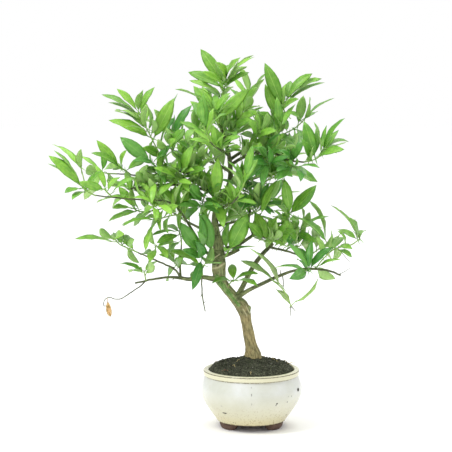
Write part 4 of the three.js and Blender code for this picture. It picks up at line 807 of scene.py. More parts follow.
# The sheet of a leaf, which is folded along its midrib and bowed: t runs from base to tip, s across it.
class Blade:
    def __init__(self, base, tip, face, width):
        self.base, self.tip, self.width = base, tip, width
        self.along = minus(tip, base)
        self.length = lengthOf(self.along)
        self.axis = unit(self.along)
        self.normal = squareTo(face, self.axis)
        self.side = cross(self.axis, self.normal)

    def middle(self, t):
        bow = 4 * t * (1 - t) * leafPlan["bow"] * self.length
        return plus(plus(self.base, self.along, t), self.normal, bow)

    def half(self, t):
        return self.width / 2 * bladeShape((t - leafPlan["stalk"]) / (1 - leafPlan["stalk"]))

    def across(self, t, s):
        half = self.half(t)
        return plus(plus(self.middle(t), self.side, s * half), self.normal, abs(s) * leafPlan["fold"] * half)

    def feet(self):
        return [self.middle(t) for t in probePlan["foot"]]

    def probes(self):
        start, steps = probePlan["start"], probePlan["steps"]
        for i in range(steps):
            t = start + (1 - start) * i / (steps - 1)
            for s in probePlan["across"]:
                yield self.across(t, s)

    def fits(self, own):
        if not all(isClear(p, own, True) for p in self.feet()):
            return False
        return all(isClear(p, own, False) for p in self.probes())

    def settle(self, own):
        for point in [*self.feet(), *self.probes()]:
            takeRoom(point, 0, own)
        return self


# Half width of a blade as a share of its widest: pointed at the tip, tapering into the stalk.
def bladeShape(s):
    full, rise, fall, ease = leafPlan["outline"]
    return 0 if s <= 0 else full * s ** rise * max(0, 1 - s) ** fall * (1 - ease * s)


# A row of numbers from 0 to 1 that is the same every time.
def drawsFrom(seed):
    state = seed
    while True:
        state = state * drawPlan["factor"] % drawPlan["modulus"]
        yield state / drawPlan["modulus"]


# A leaf drawn on the front view: its tip lies on the line of sight, nearer or farther, until it is clear.
def drawnLeaf(stem, entry, draw, own):
    u, tipAcross, tipDown, breadth = entry
    base, heading = stem.at(u), stem.heading(u)
    natural = leafPlan["length"] * (1 + leafPlan["spread"] * (2 * next(draw) - 1))
    ahead = -1 if next(draw) < 0.5 else 1
    for right, lower in tryPlan["shift"]:
        seen = (tipAcross + right, tipDown + lower)
        flat = lengthOf(minus(behind(*seen, base[1]), base))
        for roll in tryPlan["roll"]:
            for stretch in tryPlan["stretch"]:
                deep = math.sqrt(max(0, (natural * stretch) ** 2 - flat * flat))
                tip = behind(*seen, base[1] + ahead * math.copysign(1, stretch) * deep)
                axis = unit(minus(tip, base))
                facing = squareTo(toViewer, axis)
                lean = math.acos(min(1, breadth)) + roll
                first, second = turned(facing, axis, lean), turned(facing, axis, -lean)
                face = first if first[2] > second[2] else second
                if dot(face, heading) + face[2] * tryPlan["faceUp"] <= 0:
                    face = (-face[0], -face[1], -face[2])
                width = leafPlan["slimness"] * max(1, breadth) * lengthOf(minus(tip, base))
                blade = Blade(base, tip, face, width)
                if blade.fits(own):
                    return blade.settle(own)
    return None


# The way of a leaf that leans out of its stem, on the side that the turn gives, and lifts a little
def leaning(heading, turn, lean):
    out = turned(squareTo(skyward, heading), heading, turn)
    axis = plus(plus((0.0, 0.0, 0.0), heading, math.cos(lean)), out, math.sin(lean))
    return unit(plus(axis, skyward, spiralPlan["rise"]))


# A leaf of a spiral: it leaves the stem at an angle, turned on by the golden angle from the last one.
def spiralLeaf(stem, i, count, draw, own):
    plan = spiralPlan
    u = plan["start"] + (plan["end"] - plan["start"]) * i / max(1, count - 1)
    base, heading = stem.at(u), stem.heading(u)
    natural = leafPlan["length"] * (1 + leafPlan["spread"] * (2 * next(draw) - 1))
    turn = plan["golden"] * i + plan["jitter"] * (2 * next(draw) - 1)
    opening = plan["low"] + (plan["high"] - plan["low"]) * u + plan["jitter"] * (2 * next(draw) - 1)
    for more in plan["open"]:
        for nudge in plan["nudge"]:
            axis = leaning(heading, turn + nudge, opening + more)
            face, width = plus(heading, skyward, plan["faceUp"]), leafPlan["slimness"] * natural
            blade = Blade(base, plus(base, axis, natural), face, width)
            if blade.fits(own):
                return blade.settle(own)
    return None


# Leaves that are drawn close together leave the stem a little apart, the last one at its tip.
def spaced(entries, length):
    apart = leafPlan["apart"]
    last = 1 + (apart - 1) / length
    found = []
    for u, *rest in sorted(entries, key=lambda entry: -entry[0]):
        last = max(0.02, min(u, last - apart / length))
        found.append((last, *rest))
    return found


def growPlant():
    for name, bough in boughs.items():
        limb = growBough(name, bough["line"], bough.get("on"))
        limb.radii = [spot[3] for spot in bough["line"]]
        steps = math.ceil(limb.length / roomPlan["ballStep"])
        for i in range(steps + 1):
            takeRoom(limb.at(i / steps), radiusAt(limb, i / steps), "wood")
    for n, (name, stem) in enumerate(stems.items()):
        main = growBough(name, stem["line"], stem["on"])
        main.entries, main.more = stem.get("leaves", []), stem.get("more", 0)
        parts = [main]
        for side in stem.get("sides", []):
            twig = growBough(None, side["line"], name)
            twig.entries, twig.more = side["leaves"], 0
            parts.append(twig)
        for part in parts:
            steps = math.ceil(part.length / roomPlan["ballStep"])
            for i in range(2, steps + 1):
                takeRoom(part.at(i / steps), roomPlan["stem"], name)
        draw = drawsFrom(drawPlan["seed"] + drawPlan["seedStep"] * n)
        shoots.append({"name": name, "parts": parts, "draw": draw})
    for shoot in shoots:
        for part in shoot["parts"]:
            entries = spaced(part.entries, part.length)
            part.blades = [drawnLeaf(part, entry, shoot["draw"], shoot["name"]) for entry in entries]
    for shoot in shoots:
        for part in shoot["parts"]:
            for i in range(part.more):
                part.blades.append(spiralLeaf(part, i, part.more, shoot["draw"], shoot["name"]))
            part.blades = [blade for blade in part.blades if blade]


def radiusAt(limb, share):
    along = share * (len(limb.radii) - 1)
    n = min(len(limb.radii) - 2, math.floor(along))
    return limb.radii[n] + (limb.radii[n + 1] - limb.radii[n]) * (along - n)


# More leaves that the front view shows, on the stem that passes nearest to where each one starts: its start,
# across and down, its tip, and how broad it looks.
frontLeaves = (
    (178, 131, 191, 104.5, 0.8), (167, 126, 175.5, 96, 0.5), (150, 128, 114.5, 110.5, 0.45),
    (146, 119, 104, 98.5, 0.25), (158, 124, 146, 106, 0.5), (166, 130, 174, 118, 0.7),
    (171, 147, 184, 129, 0.7), (166, 150, 176, 139, 0.8), (188, 164, 178, 140, 0.5),
    (197, 178, 195, 150, 0.6), (205, 168, 240, 153.5, 0.4), (197, 148, 194, 129, 0.5),
    (152, 150, 158, 171, 0.6), (170, 150, 179, 171, 0.5), (227, 84, 239, 57, 0.35),
    (229, 84, 253.5, 55.5, 0.3), (228, 90, 247, 66, 0.45), (222, 80, 217, 62, 0.6),
    (212, 121, 230, 94, 0.6), (213, 118, 199, 88, 0.6), (213, 131, 192, 102, 0.7),
    (221, 120, 250, 93, 0.6), (245, 130, 249, 93, 0.8), (212, 121, 214, 100, 0.5),
    (233, 128, 247, 108, 0.5), (222, 140, 214, 122, 0.5), (243, 138, 232, 118, 0.5),
    (256, 136, 247, 120, 0.6), (262, 134, 252, 112, 0.5), (270, 126, 259, 112, 0.5),
    (284, 120, 291, 98, 0.4), (283, 108, 290, 82, 0.7), (293, 93, 321.5, 78, 0.3),
    (296, 113, 309, 97, 0.4), (309, 124, 318, 112, 0.6), (322, 145, 349, 141, 0.3),
    (318, 152, 340, 146.5, 0.3), (268, 170, 269, 147, 0.5), (262, 172, 318, 181, 0.5),
    (262, 190, 283, 176, 0.5), (281, 214, 283, 178, 0.7), (292, 210, 317, 186, 0.7),
    (252, 176, 245, 151, 0.7), (262, 166, 276, 152, 0.5), (283, 158, 296, 145, 0.6),
    (300, 158, 312, 147, 0.5), (272, 138, 281, 126, 0.6), (222, 168, 229, 146, 0.5),
    (238, 160, 248, 140, 0.4), (224, 152, 236, 134, 0.5), (282, 224, 291, 208, 0.6),
    (270, 236, 276, 218, 0.6), (255, 232, 263, 212, 0.5), (310, 204, 326, 240, 0.35),
    (128, 200, 96, 202.5, 0.4), (136, 224, 108, 222, 0.35), (152, 222, 122, 225, 0.3),
    (122, 246, 116, 232, 0.9), (132, 256, 122, 240, 0.8), (114, 166, 92, 152, 0.6),
    (80, 186, 50, 153.5, 0.3), (84, 190, 50, 167, 0.2), (176, 274, 182, 258, 0.6),
    (166, 270, 160, 254, 0.5), (196, 256, 190, 240, 0.6), (206, 250, 199, 232, 0.5),
    (320, 250, 333, 234, 0.5), (304, 246, 309, 228, 0.5), (296, 240, 286, 224, 0.6),
    (338, 256, 352, 248, 0.4),
)
frontClear = 1.2  # mm that these leaves keep clear
# The heart of the crown is fuller still: smaller leaves fill what room is left, on stems and thin boughs.
heartPlan = {
    "clear": 0.7, "step": 4.0, "thickest": 3.6, "start": 0.15, "open": 0.9, "openSpread": 0.35, "deep": 100,
    "small": 0.5, "large": 0.95, "jitter": 0.4, "seed": 21,
    # ovals of the front view: middle across and down, half width and half height
    "ovals": (
        (240, 148, 60, 48), (200, 165, 36, 38), (160, 180, 30, 18), (238, 198, 38, 18), (284, 218, 22, 16)),
}


def seenAt(point):
    sin, cos = math.sin(view["tilt"]), math.cos(view["tilt"])
    x = point[0] - view["aimX"]
    y = point[1] + view["distance"] * cos
    z = point[2] - view["aimZ"] - view["distance"] * sin
    scale = view["distance"] / (y * cos - z * sin) / view["step"]
    return view["middle"] + x * scale, view["middle"] - (y * sin + z * cos) * scale


def inHeart(point):
    across, down = seenAt(point)
    if abs(point[1]) > heartPlan["deep"]:
        return False
    return any(
        math.hypot((across - x) / wide, (down - y) / high) < 1 for x, y, wide, high in heartPlan["ovals"])


def heartLeaf(limb, u, turn, chance, own):
    base, heading = limb.at(u), limb.heading(u)
    long = leafPlan["length"] * chance.uniform(heartPlan["small"], heartPlan["large"])
    lean = heartPlan["open"] + heartPlan["openSpread"] * chance.uniform(-1, 1)
    for nudge in spiralPlan["nudge"]:
        tip = plus(base, leaning(heading, turn + nudge, lean), long)
        face = plus(heading, skyward, spiralPlan["faceUp"])
        blade = Blade(base, tip, face, leafPlan["slimness"] * long)
        if inHeart(tip) and blade.fits(own):
            return blade.settle(own)
    return None


def addFrontLeaves():
    roomPlan["leafClear"] = frontClear
    draw = drawsFrom(drawPlan["frontSeed"])
    spots = []
    for shoot in shoots:
        for part in shoot["parts"]:
            for i in range(2, stemSteps + 1):
                spots.append((*seenAt(part.at(i / stemSteps)), part, i / stemSteps, shoot["name"]))
    for across, down, tipAcross, tipDown, breadth in frontLeaves:
        *_, part, u, own = min(spots, key=lambda spot: math.hypot(spot[0] - across, spot[1] - down))
        blade = drawnLeaf(part, (u, tipAcross, tipDown, breadth), draw, own)
        if blade:
            part.blades.append(blade)


def fillHeart():
    chance, jitter = random.Random(heartPlan["seed"]), heartPlan["jitter"]
    roomPlan["leafClear"] = heartPlan["clear"]
    limbs = [(part, shoot["name"], part.blades) for shoot in shoots for part in shoot["parts"]]
    limbs += [(grown[name], "wood", heartBlades) for name in boughs]
    for limb, own, blades in limbs:
        count = math.floor(limb.length / heartPlan["step"])
        for i in range(count):
            u = heartPlan["start"] + (1 - heartPlan["start"]) * (i + 0.5) / count
            if own == "wood" and radiusAt(limb, u) > heartPlan["thickest"]:
                continue
            turn = spiralPlan["golden"] * i + chance.uniform(-jitter, jitter)
            blade = heartLeaf(limb, u, turn, chance, own)
            if blade:
                blades.append(blade)


def countLeaves():
    return sum(len(part.blades) for shoot in shoots for part in shoot["parts"])


shoots, heartBlades = [], []
growPlant()
print("plant grown:", len(boughs), "boughs,", countLeaves(), "leaves")
addFrontLeaves()
print("with those of the front:", countLeaves())
fillHeart()
print("crown filled:", countLeaves(), "and", len(heartBlades), "on boughs")


# Leaf: a blade of 1 by 1 that is stretched to each leaf's width and length. Its rows run from stalk to tip.
leafLook = {
    "rows": (0.1, 0.19, 0.32, 0.46, 0.6, 0.74, 0.88, 1.0),
    "columns": 4,
    "crease": 0.028,      # how far the quarter lines stand above the midrib
    "lift": 0.043,        # how far the margins stand above it
    "thick": 0.009,       # 0.5 mm on a leaf of 60 mm
    "stalkWide": 0.045,
    "stalkThick": 0.014,
    "stalkSides": 4,
    "stalkLong": 0.2,
    "stalkMiddle": (0, 0.06, 0.028),
    "stalkRise": 0.28,    # radians
    # width along the leaf: how wide, then how fast it widens from the stalk and narrows to the tip
    "outline": (3.2, 0.9, 0.95),
    "twistFrom": 0.4,     # where the blade isn't turned
    "waveTurn": 2.3,      # radians from row to row, and from margin to margin
    "waveApart": 2.1,
    "near": 0.01,         # how closely corners are picked
    "weld": 0.0005,
    # bow of the midrib, twist in radians, drop of the tip, height of the waves along the margin
    "kinds": (
        (0.3, 0.1, 0.0, 0.007), (0.36, -0.3, 0.02, 0.012), (0.24, 0.28, -0.015, 0.01),
        (0.3, -0.08, 0.045, 0.015)),
}


def makeLeaf(number, bow, twist, drop, wave):
    look = leafLook
    cells = len(look["rows"]) - 1
    deselectAll()
    bpy.ops.mesh.primitive_grid_add(x_subdivisions=look["columns"], y_subdivisions=cells, size=1)
    leaf = bpy.context.object
    leaf.name = f"leafMaster{number}"
    startEditing()
    bpy.ops.transform.translate(value=(0, 0.5, 0))
    for side, high in ((-0.25, "crease"), (0.25, "crease"), (-0.5, "lift"), (0.5, "lift")):
        pick(lambda p: abs(p.x - side) < look["near"])
        bpy.ops.transform.translate(value=(0, 0, look[high]))
    for i in range(cells, -1, -1):
        spot = look["rows"][i]
        s = (spot - look["rows"][0]) / (1 - look["rows"][0])
        full, rise, fall = look["outline"]
        wide = full * s ** rise * (1 - s) ** fall
        pick(lambda p: abs(p.y - i / cells) < look["near"])
        bpy.ops.transform.resize(value=(wide, 1, wide), center_override=(0, i / cells, 0))
        high = bow * 4 * spot * (1 - spot) * 0.25 - drop * spot ** 4
        bpy.ops.transform.translate(value=(0, spot - i / cells, high))
        bpy.ops.transform.rotate(
            value=twist * (spot - look["twistFrom"]), orient_axis="Y", center_override=(0, spot, high))
        for side, phase in ((-1, 0.0), (1, look["waveApart"])):
            pick(lambda p: abs(p.y - spot) < 3 * look["near"] and side * p.x > 0.3 * wide)
            lift = wave * math.sin(i * look["waveTurn"] + phase + number)
            bpy.ops.transform.translate(value=(0, 0, lift))
    closeUnderside(look)
    addStalk(look)
    bpy.ops.object.mode_set(mode="OBJECT")
    bpy.ops.object.shade_smooth()
    for face in leaf.data.polygons:
        face.material_index = 1 if face.normal.z < 0 and face.center.y > look["rows"][0] else 0
    return leaf


# The sheet is doubled, and the double's inner corners are let down, so that it closes at the margin.
def closeUnderside(look):
    selectAll()
    bpy.ops.mesh.remove_doubles(threshold=look["weld"])
    bpy.ops.mesh.duplicate()
    bpy.ops.mesh.flip_normals()
    mesh = bpy.context.edit_object.data
    shape = bmesh.from_edit_mesh(mesh)
    for corner in shape.verts:
        if corner.is_boundary:
            corner.select = False
    shape.select_flush(False)
    bmesh.update_edit_mesh(mesh)
    bpy.ops.transform.translate(value=(0, 0, -look["thick"]))
    selectAll()
    bpy.ops.mesh.remove_doubles(threshold=look["weld"])


def addStalk(look):
    bpy.ops.mesh.primitive_cylinder_add(
        vertices=look["stalkSides"], radius=0.5, depth=look["stalkLong"], end_fill_type="NOTHING",
        location=look["stalkMiddle"], rotation=(math.pi / 2 + look["stalkRise"], 0, 0))
    bpy.ops.transform.resize(
        value=(2 * look["stalkWide"], 1, 2 * look["stalkThick"]), center_override=look["stalkMiddle"])


# A round limb along points in mm, each with its own radius, capped at both ends.
def makeLimb(name, points, radii, detail=1):
    deselectAll()
    bpy.ops.curve.primitive_nurbs_path_add()
    limb = bpy.context.object
    limb.name = name
    shape = limb.data
    shape.splines.clear()
    line = shape.splines.new("POLY")
    line.points.add(len(points) - 1)
    for spot, point, radius in zip(line.points, points, radii):
        spot.co = (*inScene(point), 1)
        spot.radius = radius
    shape.bevel_depth = mm
    shape.bevel_resolution = detail
    shape.use_fill_caps = True
    bpy.ops.object.convert(target="MESH")
    bpy.ops.object.shade_smooth()
    return bpy.context.object


# Wood: the thick limbs are fused into one body, and the thin ones stay round twigs that start inside it.
woodLook = {
    "step": 2.5,          # mm between rings
    "thick": 2.0,         # radius from which a limb is fused
    "voxel": 1.05,        # mm
    "ridge": 0.7,         # mm that the bark stands in and out
    "fuller": 0.6,        # mm that it stands further out on the thick wood
    "kink": 0.9,          # mm that a thin twig wanders
    "kinkLong": 9,        # mm from kink to kink
    "ridgeWide": 3.2,     # mm across a ridge
    "alongGrain": 0.16,   # how wide a ridge is, as a share of its length
    "apart": 37.0,        # each limb reads its own stretch of grain
    "fineRidge": 0.5,     # a second, finer ridge: how high and how much finer
    "finer": 2.3,
    "fullFrom": 5,        # radius from which the ridges have their full height
    "roots": 6, "rootSteps": 8,
    "rootReach": 27, "rootSpan": (0.75, 1.1), "rootTurn": 0.3, "rootBend": 0.35,
    "rootRadius": 5.5, "rootTaper": 0.62,
    "rootRise": 9,        # mm above the soil at the trunk, and the fall to the root's end
    "rootFall": 21, "rootDip": 0.8,
    "soilTop": 123,       # height of the soil at the trunk
    # age: what the thinnest wood has, what thick and low wood gain, the radius from which it ages and over
    # how many mm it does, and the height below which old wood turns tan and over how many mm
    "young": 0.12, "ageing": 0.42, "oldFrom": 1.2, "oldOver": 7, "tanBelow": 330, "tanOver": 190,
    "barkFrom": 1.3,      # thinner twigs stay as young as the thinnest
    "markFull": 1.8,      # how a mark fades with the distance from its line, in its half widths
    "markFade": 1.2,
    "seed": 11,           # for noise_vector, which starts from the clock otherwise
    "rootSeed": 7,
}
noise.seed_set(woodLook["seed"])
# Marks on the bark as lines in the front view, and their half width in mm: moss down the left of the knee
# and the pale rings of old cuts.
barkMarks = {
    "moss": ((4.2, (217, 277), (220.5, 283), (227, 290.5), (232, 296.5)),
             (2.6, (232, 296.5), (236, 302), (239, 305))),
    "scar": ((1.3, (212.4, 268.6), (218, 267.6), (224.4, 263.5)), (0.8, (213, 259), (220, 254)),
             (0.7, (246, 306), (249.5, 313)), (0.7, (243, 309), (247, 316))),
}


def limbRings(limb, step):
    count = max(2, math.ceil(limb.length / step))
    points, radii = [], []
    for i in range(count + 1):
        point, radius = limb.at(i / count), radiusAt(limb, i / count)
        if radius < woodLook["thick"] and i > 1:
            aside = tuple(noise.noise_vector(Vector(point) / woodLook["kinkLong"]))
            point = plus(point, aside, woodLook["kink"])
        points.append(point)
        radii.append(radius)
    return points, radii


def makeRoots(look):
    foot = grown["trunk"].nearest((0, 0, look["soilTop"]))
    chance = random.Random(look["rootSeed"])
    made = []
    for i in range(look["roots"]):
        angle = 2 * math.pi * i / look["roots"] + chance.uniform(-look["rootTurn"], look["rootTurn"])
        reach = look["rootReach"] * chance.uniform(*look["rootSpan"])
        bend = chance.uniform(-look["rootBend"], look["rootBend"])
        points, radii = [], []
        for n in range(look["rootSteps"] + 1):
            s = n / look["rootSteps"]
            turn = angle + bend * s
            points.append((
                foot[0] + math.cos(turn) * reach * s, foot[1] + math.sin(turn) * reach * s,
                look["soilTop"] + look["rootRise"] - look["rootFall"] * s ** look["rootDip"]))
            radii.append(look["rootRadius"] * (1 - look["rootTaper"] * s))
        made.append(makeLimb(f"root{i}", points, radii, detail=2))
    return made


def makeWood():
    look = woodLook
    fused, twigs = makeRoots(look), []
    for name in boughs:
        points, radii = limbRings(grown[name], look["step"])
        thick = [i for i, radius in enumerate(radii) if radius >= look["thick"]]
        if thick:
            last = min(len(points), thick[-1] + 3)
            fused.append(makeLimb(name, points[:last], radii[:last], detail=4))
        first = thick[-1] if thick else 0
        if first < len(points) - 1:
            twigs.append(makeLimb(name + "Tip", points[first:], radii[first:], detail=2))
    wood = joined("treeWood", fused)
    applyModifier(wood, "REMESH", mode="VOXEL", voxel_size=look["voxel"] * mm, use_smooth_shade=True)
    applyModifier(wood, "SMOOTH", factor=0.5, iterations=2)
    wood = joined("treeWood", [wood, *twigs])
    readGrain(wood, look)
    wood.data.materials.clear()
    wood.data.materials.append(bark)
    return wood


# How far a spot of the front view is from a marked line, counted in half widths of the line
def markDistance(seen, line):
    size, *spots = line
    gaps = []
    for (a, b), (c, d) in zip(spots, spots[1:]):
        share = ((seen[0] - a) * (c - a) + (seen[1] - b) * (d - b)) / ((c - a) ** 2 + (d - b) ** 2)
        share = max(0, min(1, share))
        gaps.append(math.hypot(seen[0] - a - share * (c - a), seen[1] - b - share * (d - b)))
    return min(gaps) * view["step"] / size


# Each corner of the wood gets its place on the nearest limb: round it in mm, and along it much shortened, so
# that streaks and cracks follow the limb. It also gets the wood's age, and the ridges move it in or out.
def readGrain(wood, look):
    rings = []
    for name in boughs:
        points, radii = limbRings(grown[name], look["step"])
        sideways = squareTo((0.3, 1.0, 0.2), unit(minus(points[1], points[0])))
        travelled = look["apart"] * len(rings)
        for i, point in enumerate(points):
            ahead = unit(minus(points[min(i + 1, len(points) - 1)], points[max(i - 1, 0)]))
            sideways = squareTo(sideways, ahead)
            travelled += lengthOf(minus(point, points[max(i - 1, 0)]))
            rings.append((point, sideways, cross(ahead, sideways), ahead, travelled, radii[i]))
    tree = kdtree.KDTree(len(rings))
    for i, ring in enumerate(rings):
        tree.insert(inScene(ring[0]), i)
    tree.balance()

    corners = [(corner.co.copy(), corner.normal.copy()) for corner in wood.data.vertices]
    moved, grain, age = [], [], []
    marks = {"moss": [], "scar": []}
    for corner, normal in corners:
        point, sideways, other, ahead, travelled, radius = rings[tree.find(corner)[1]]
        spot = tuple((corner - potAxis) / mm)
        offset = minus(spot, point)
        along = (travelled + dot(offset, ahead)) * look["alongGrain"]
        onLimb = (dot(offset, sideways), dot(offset, other), along)
        grain.extend(onLimb)
        old = max(0, min(1, (radius - look["oldFrom"]) / look["oldOver"]))
        lower = max(0, min(1, (look["tanBelow"] - corner.z / mm) / look["tanOver"]))
        gained = look["ageing"] * old + look["ageing"] * old ** 0.5 * lower ** 1.2
        age.append(look["young"] + gained if radius > look["barkFrom"] else look["young"])
        seen = seenAt(spot)
        for kind, values in marks.items():
            near = min(markDistance(seen, line) for line in barkMarks[kind]) if normal.y < 0.2 else 9
            values.append(max(0, min(1, look["markFull"] - look["markFade"] * near)))
        coarse = Vector(onLimb) / look["ridgeWide"]
        uneven = noise.noise(coarse) + look["fineRidge"] * noise.noise(coarse * look["finer"])
        ridge = look["ridge"] * uneven + look["fuller"]
        moved.extend(corner + normal * ridge * mm * min(1, (radius / look["fullFrom"]) ** 2))
    wood.data.vertices.foreach_set("co", moved)
    wood.data.update()
    setAttribute(wood, "grain", grain, "FLOAT_VECTOR")
    for name, values in {"age": age, **marks}.items():
        setAttribute(wood, name, values)
    print("wood:", len(corners), "corners")


treeWood = makeWood()
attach(treeWood, "root")
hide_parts("trunk_and_boughs")


# Sprays: a green stem and its leaves, one piece for each solid
sprayLook = {
    "step": 5, "foot": 1.35, "tip": 0.95,  # mm between rings, and a stem's radius at its foot and tip
    "seed": 100,
    "dull": ("droopingStem", "greyLeaf"),
    # stems whose leaves stay nearer to their light colour, 0, or to their deep one, 1
    "shade": {
        "topRight": (0.4, 1), "topRightOut": (0.45, 1), "rightEnd": (0.45, 1), "rightFront": (0.45, 1),
        "rightCrown": (0.3, 1), "leftWing": (0, 0.6), "leftNear": (0, 0.5), "farBack": (0, 0.6),
        "leftCentre": (0, 0.7), "trunkFront": (0, 0.6), "leftRise": (0, 0.8), "darkPair": (0, 0.6),
    },
}
spurLook = {"seed": 9, "shade": (0, 0.8)}
sprayFinish = {"young": youngLeaf, "grown": grownLeaf, "old": oldLeaf}
leafMasters = [makeLeaf(n, *kind) for n, kind in enumerate(leafLook["kinds"])]


def leafMatrix(blade):
    wide, long = blade.width * mm, blade.length * mm
    base = inScene(blade.base)
    return Matrix((
        (blade.side[0] * wide, blade.axis[0] * long, blade.normal[0] * long, base.x),
        (blade.side[1] * wide, blade.axis[1] * long, blade.normal[1] * long, base.y),
        (blade.side[2] * wide, blade.axis[2] * long, blade.normal[2] * long, base.z),
        (0, 0, 0, 1),
    ))


def leafOn(blade, chance, finish, shade):
    leaf = copyOf(chance.choice(leafMasters), leafMatrix(blade))
    leaf.data.materials.append(finish)
    leaf.data.materials.append(leafUnderside)
    setAttribute(leaf, "leafTone", [chance.uniform(*shade)] * len(leaf.data.vertices))
    return leaf


def makeSpray(shoot, number):
    look = sprayLook
    chance = random.Random(look["seed"] + number)
    stem = stems[shoot["name"]]
    tone = stem.get("tone", "grown")
    finish = dullLeaf if shoot["name"] in look["dull"] else sprayFinish[tone]
    shade = look["shade"].get(shoot["name"], (0, 1))
    made = []
    for part in shoot["parts"]:
        count = max(3, math.ceil(part.length / look["step"]))
        points = [part.at(i / count) for i in range(count + 1)]
        radii = [look["foot"] + (look["tip"] - look["foot"]) * i / count for i in range(count + 1)]
        twig = makeLimb("twig", points, radii)
        twig.data.materials.append(greenStem)
        made.append(twig)
    for part in shoot["parts"]:
        made.extend(leafOn(blade, chance, finish, shade) for blade in part.blades)
    spray = placed(joined(shoot["name"] + "Spray", made))
    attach(spray, "root")
    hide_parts(shoot["name"])
    return spray


sprays = [makeSpray(shoot, number) for number, shoot in enumerate(shoots)]
print("sprays:", len(sprays))


# Leaves of the short spurs on the boughs, deep in the crown
def makeSpurLeaves():
    chance = random.Random(spurLook["seed"])
    made = [leafOn(blade, chance, grownLeaf, spurLook["shade"]) for blade in heartBlades]
    return placed(joined("spurLeaves", made))


spurLeaves = makeSpurLeaves()
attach(spurLeaves, "root")

# Bare twig ends, from the wood or stem that passes nearest: two ends in the front view, and the radius in mm
bareTwigs = (
    (290, 305, 290.6, 316, 0.9), (290.4, 306.5, 295.8, 311.5, 0.8), (281, 270.5, 283.8, 287, 1.0),
    (280, 277, 280.6, 270, 0.9), (203.2, 303, 205.6, 301.5, 0.8), (202.4, 293, 200.6, 297, 0.8),
    (221, 233, 224.5, 226.5, 0.8), (222.6, 230.5, 226, 231, 0.6), (351, 224, 355, 219, 0.7),
    (352, 228, 357.5, 226, 0.6), (345, 262, 350, 268, 0.6), (341, 258, 350.5, 263, 0.6),
    (173.5, 283, 172.4, 280, 0.9),
)
twigLook = {"nearer": 2, "bend": 1.5, "taper": (1, 0.9, 0.6)}


def makeBareTwigs():
    look = twigLook
    limbs = [grown[name] for name in boughs] + [part for shoot in shoots for part in shoot["parts"]]
    starts = [limb.at(i / stemSteps) for limb in limbs for i in range(stemSteps + 1)]
    spots = [(*seenAt(start), start) for start in starts]
    made = []
    for across, down, endAcross, endDown, radius in bareTwigs:
        start = min(spots, key=lambda spot: math.hypot(spot[0] - across, spot[1] - down))[2]
        end = behind(endAcross, endDown, start[1] - look["nearer"])
        middle = plus(start, minus(end, start), 0.5)
        middle = plus(middle, tuple(noise.noise_vector(Vector(start))), look["bend"])
        made.append(makeLimb("bareTwig", (start, middle, end), [radius * share for share in look["taper"]]))
    twigs = joined("bareTwigs", made)
    twigs.data.materials.append(bark)
    return twigs


bareTwigEnds = makeBareTwigs()
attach(bareTwigEnds, "root")
print("spur leaves and bare twigs done")


# Pot: stoneware with a bulging bowl, a rolled lip and three bare clay feet. All in mm round its axis.
potLook = {
    "sides": 96, "base": 12, "height": 103.5,
    "baseRadius": 60, "bulgeRadius": 90, "bulgeHeight": 71, "neckRadius": 82.5, "neckHeight": 92.5,
    "floorRing": 30, "baseRim": 3, "baseRise": 0.6,  # rings of the underside, and the rim's height
    "swell": 1.06, "shoulder": 1.4, "bowlSteps": 12, "neckSteps": 7, "lipSteps": 5,
    "lipRadius": 85, "lipInner": 75, "lipLow": 93.5, "lipRound": 3.6, "lipEdge": 1.6,
    "inner": ((81, 71), (63, 33), (52, 21), (8, 21)), "drain": 8, "weld": 0.05,
    "feet": 3, "footRing": 46, "footLong": 51, "footDeep": 28, "footSunk": 2, "footCorner": 9,
    "footSteps": ((0, 0.7), (0.1, 0.78), (0.34, 0.9), (0.66, 0.98)),  # height and width, as shares
    "bareBowl": 0.3, "bareFoot": 5,  # above the base, up to where the clay is bare
    "smoothBelow": 40,               # degrees
}


# The way up the outside from the drain hole, over the lip and down the inside, as radius and height
def potOutline(look):
    line = [(radius, look["base"]) for radius in (
        look["drain"], look["floorRing"], look["baseRadius"] - look["baseRim"])]
    rise = look["bulgeHeight"] - look["base"] - look["baseRise"]
    for i in range(look["bowlSteps"] + 1):
        s = i / look["bowlSteps"]
        swell = math.sin(max(s, 0.012) ** look["swell"] * math.pi / 2)
        line.append((
            look["baseRadius"] + (look["bulgeRadius"] - look["baseRadius"]) * swell,
            look["base"] + look["baseRise"] + rise * s))
    for i in range(1, look["neckSteps"] + 1):
        s = i / look["neckSteps"]
        line.append((
            look["bulgeRadius"] - (look["bulgeRadius"] - look["neckRadius"]) * s ** look["shoulder"],
            look["bulgeHeight"] + (look["neckHeight"] - look["bulgeHeight"]) * s))
    bead, edge = look["lipRound"], look["lipEdge"]
    corners = (
        (look["lipRadius"] - edge, look["lipLow"] + edge, edge, -90, 0),
        (look["lipRadius"] - bead, look["height"] - bead, bead, 0, 90),
        (look["lipInner"] + bead * 0.8, look["height"] - bead * 0.8, bead * 0.8, 90, 180),
    )
    for middle, height, radius, first, last in corners:
        for i in range(look["lipSteps"] + 1):
            turn = math.radians(first + (last - first) * i / look["lipSteps"])
            line.append((middle + radius * math.cos(turn), height + radius * math.sin(turn)))
    return [*line, *look["inner"]]


# A ring that is drawn out and resized along an outline, as a potter's profile. The first ring is there.
def drawUp(outline):
    for (before, low), (radius, height) in zip(outline, outline[1:]):
        bpy.ops.mesh.extrude_region_move(TRANSFORM_OT_translate={"value": (0, 0, (height - low) * mm)})
        share = radius / before
        bpy.ops.transform.resize(
            value=(share, share, 1), center_override=(potAxis.x, potAxis.y, height * mm))


def startRing(radius, height, sides):
    deselectAll()
    bpy.ops.mesh.primitive_circle_add(
        vertices=sides, radius=radius * mm, fill_type="NOTHING",
        location=potAxis + Vector((0, 0, height * mm)))
    ring = bpy.context.object
    placed(ring)
    startEditing()
    return ring


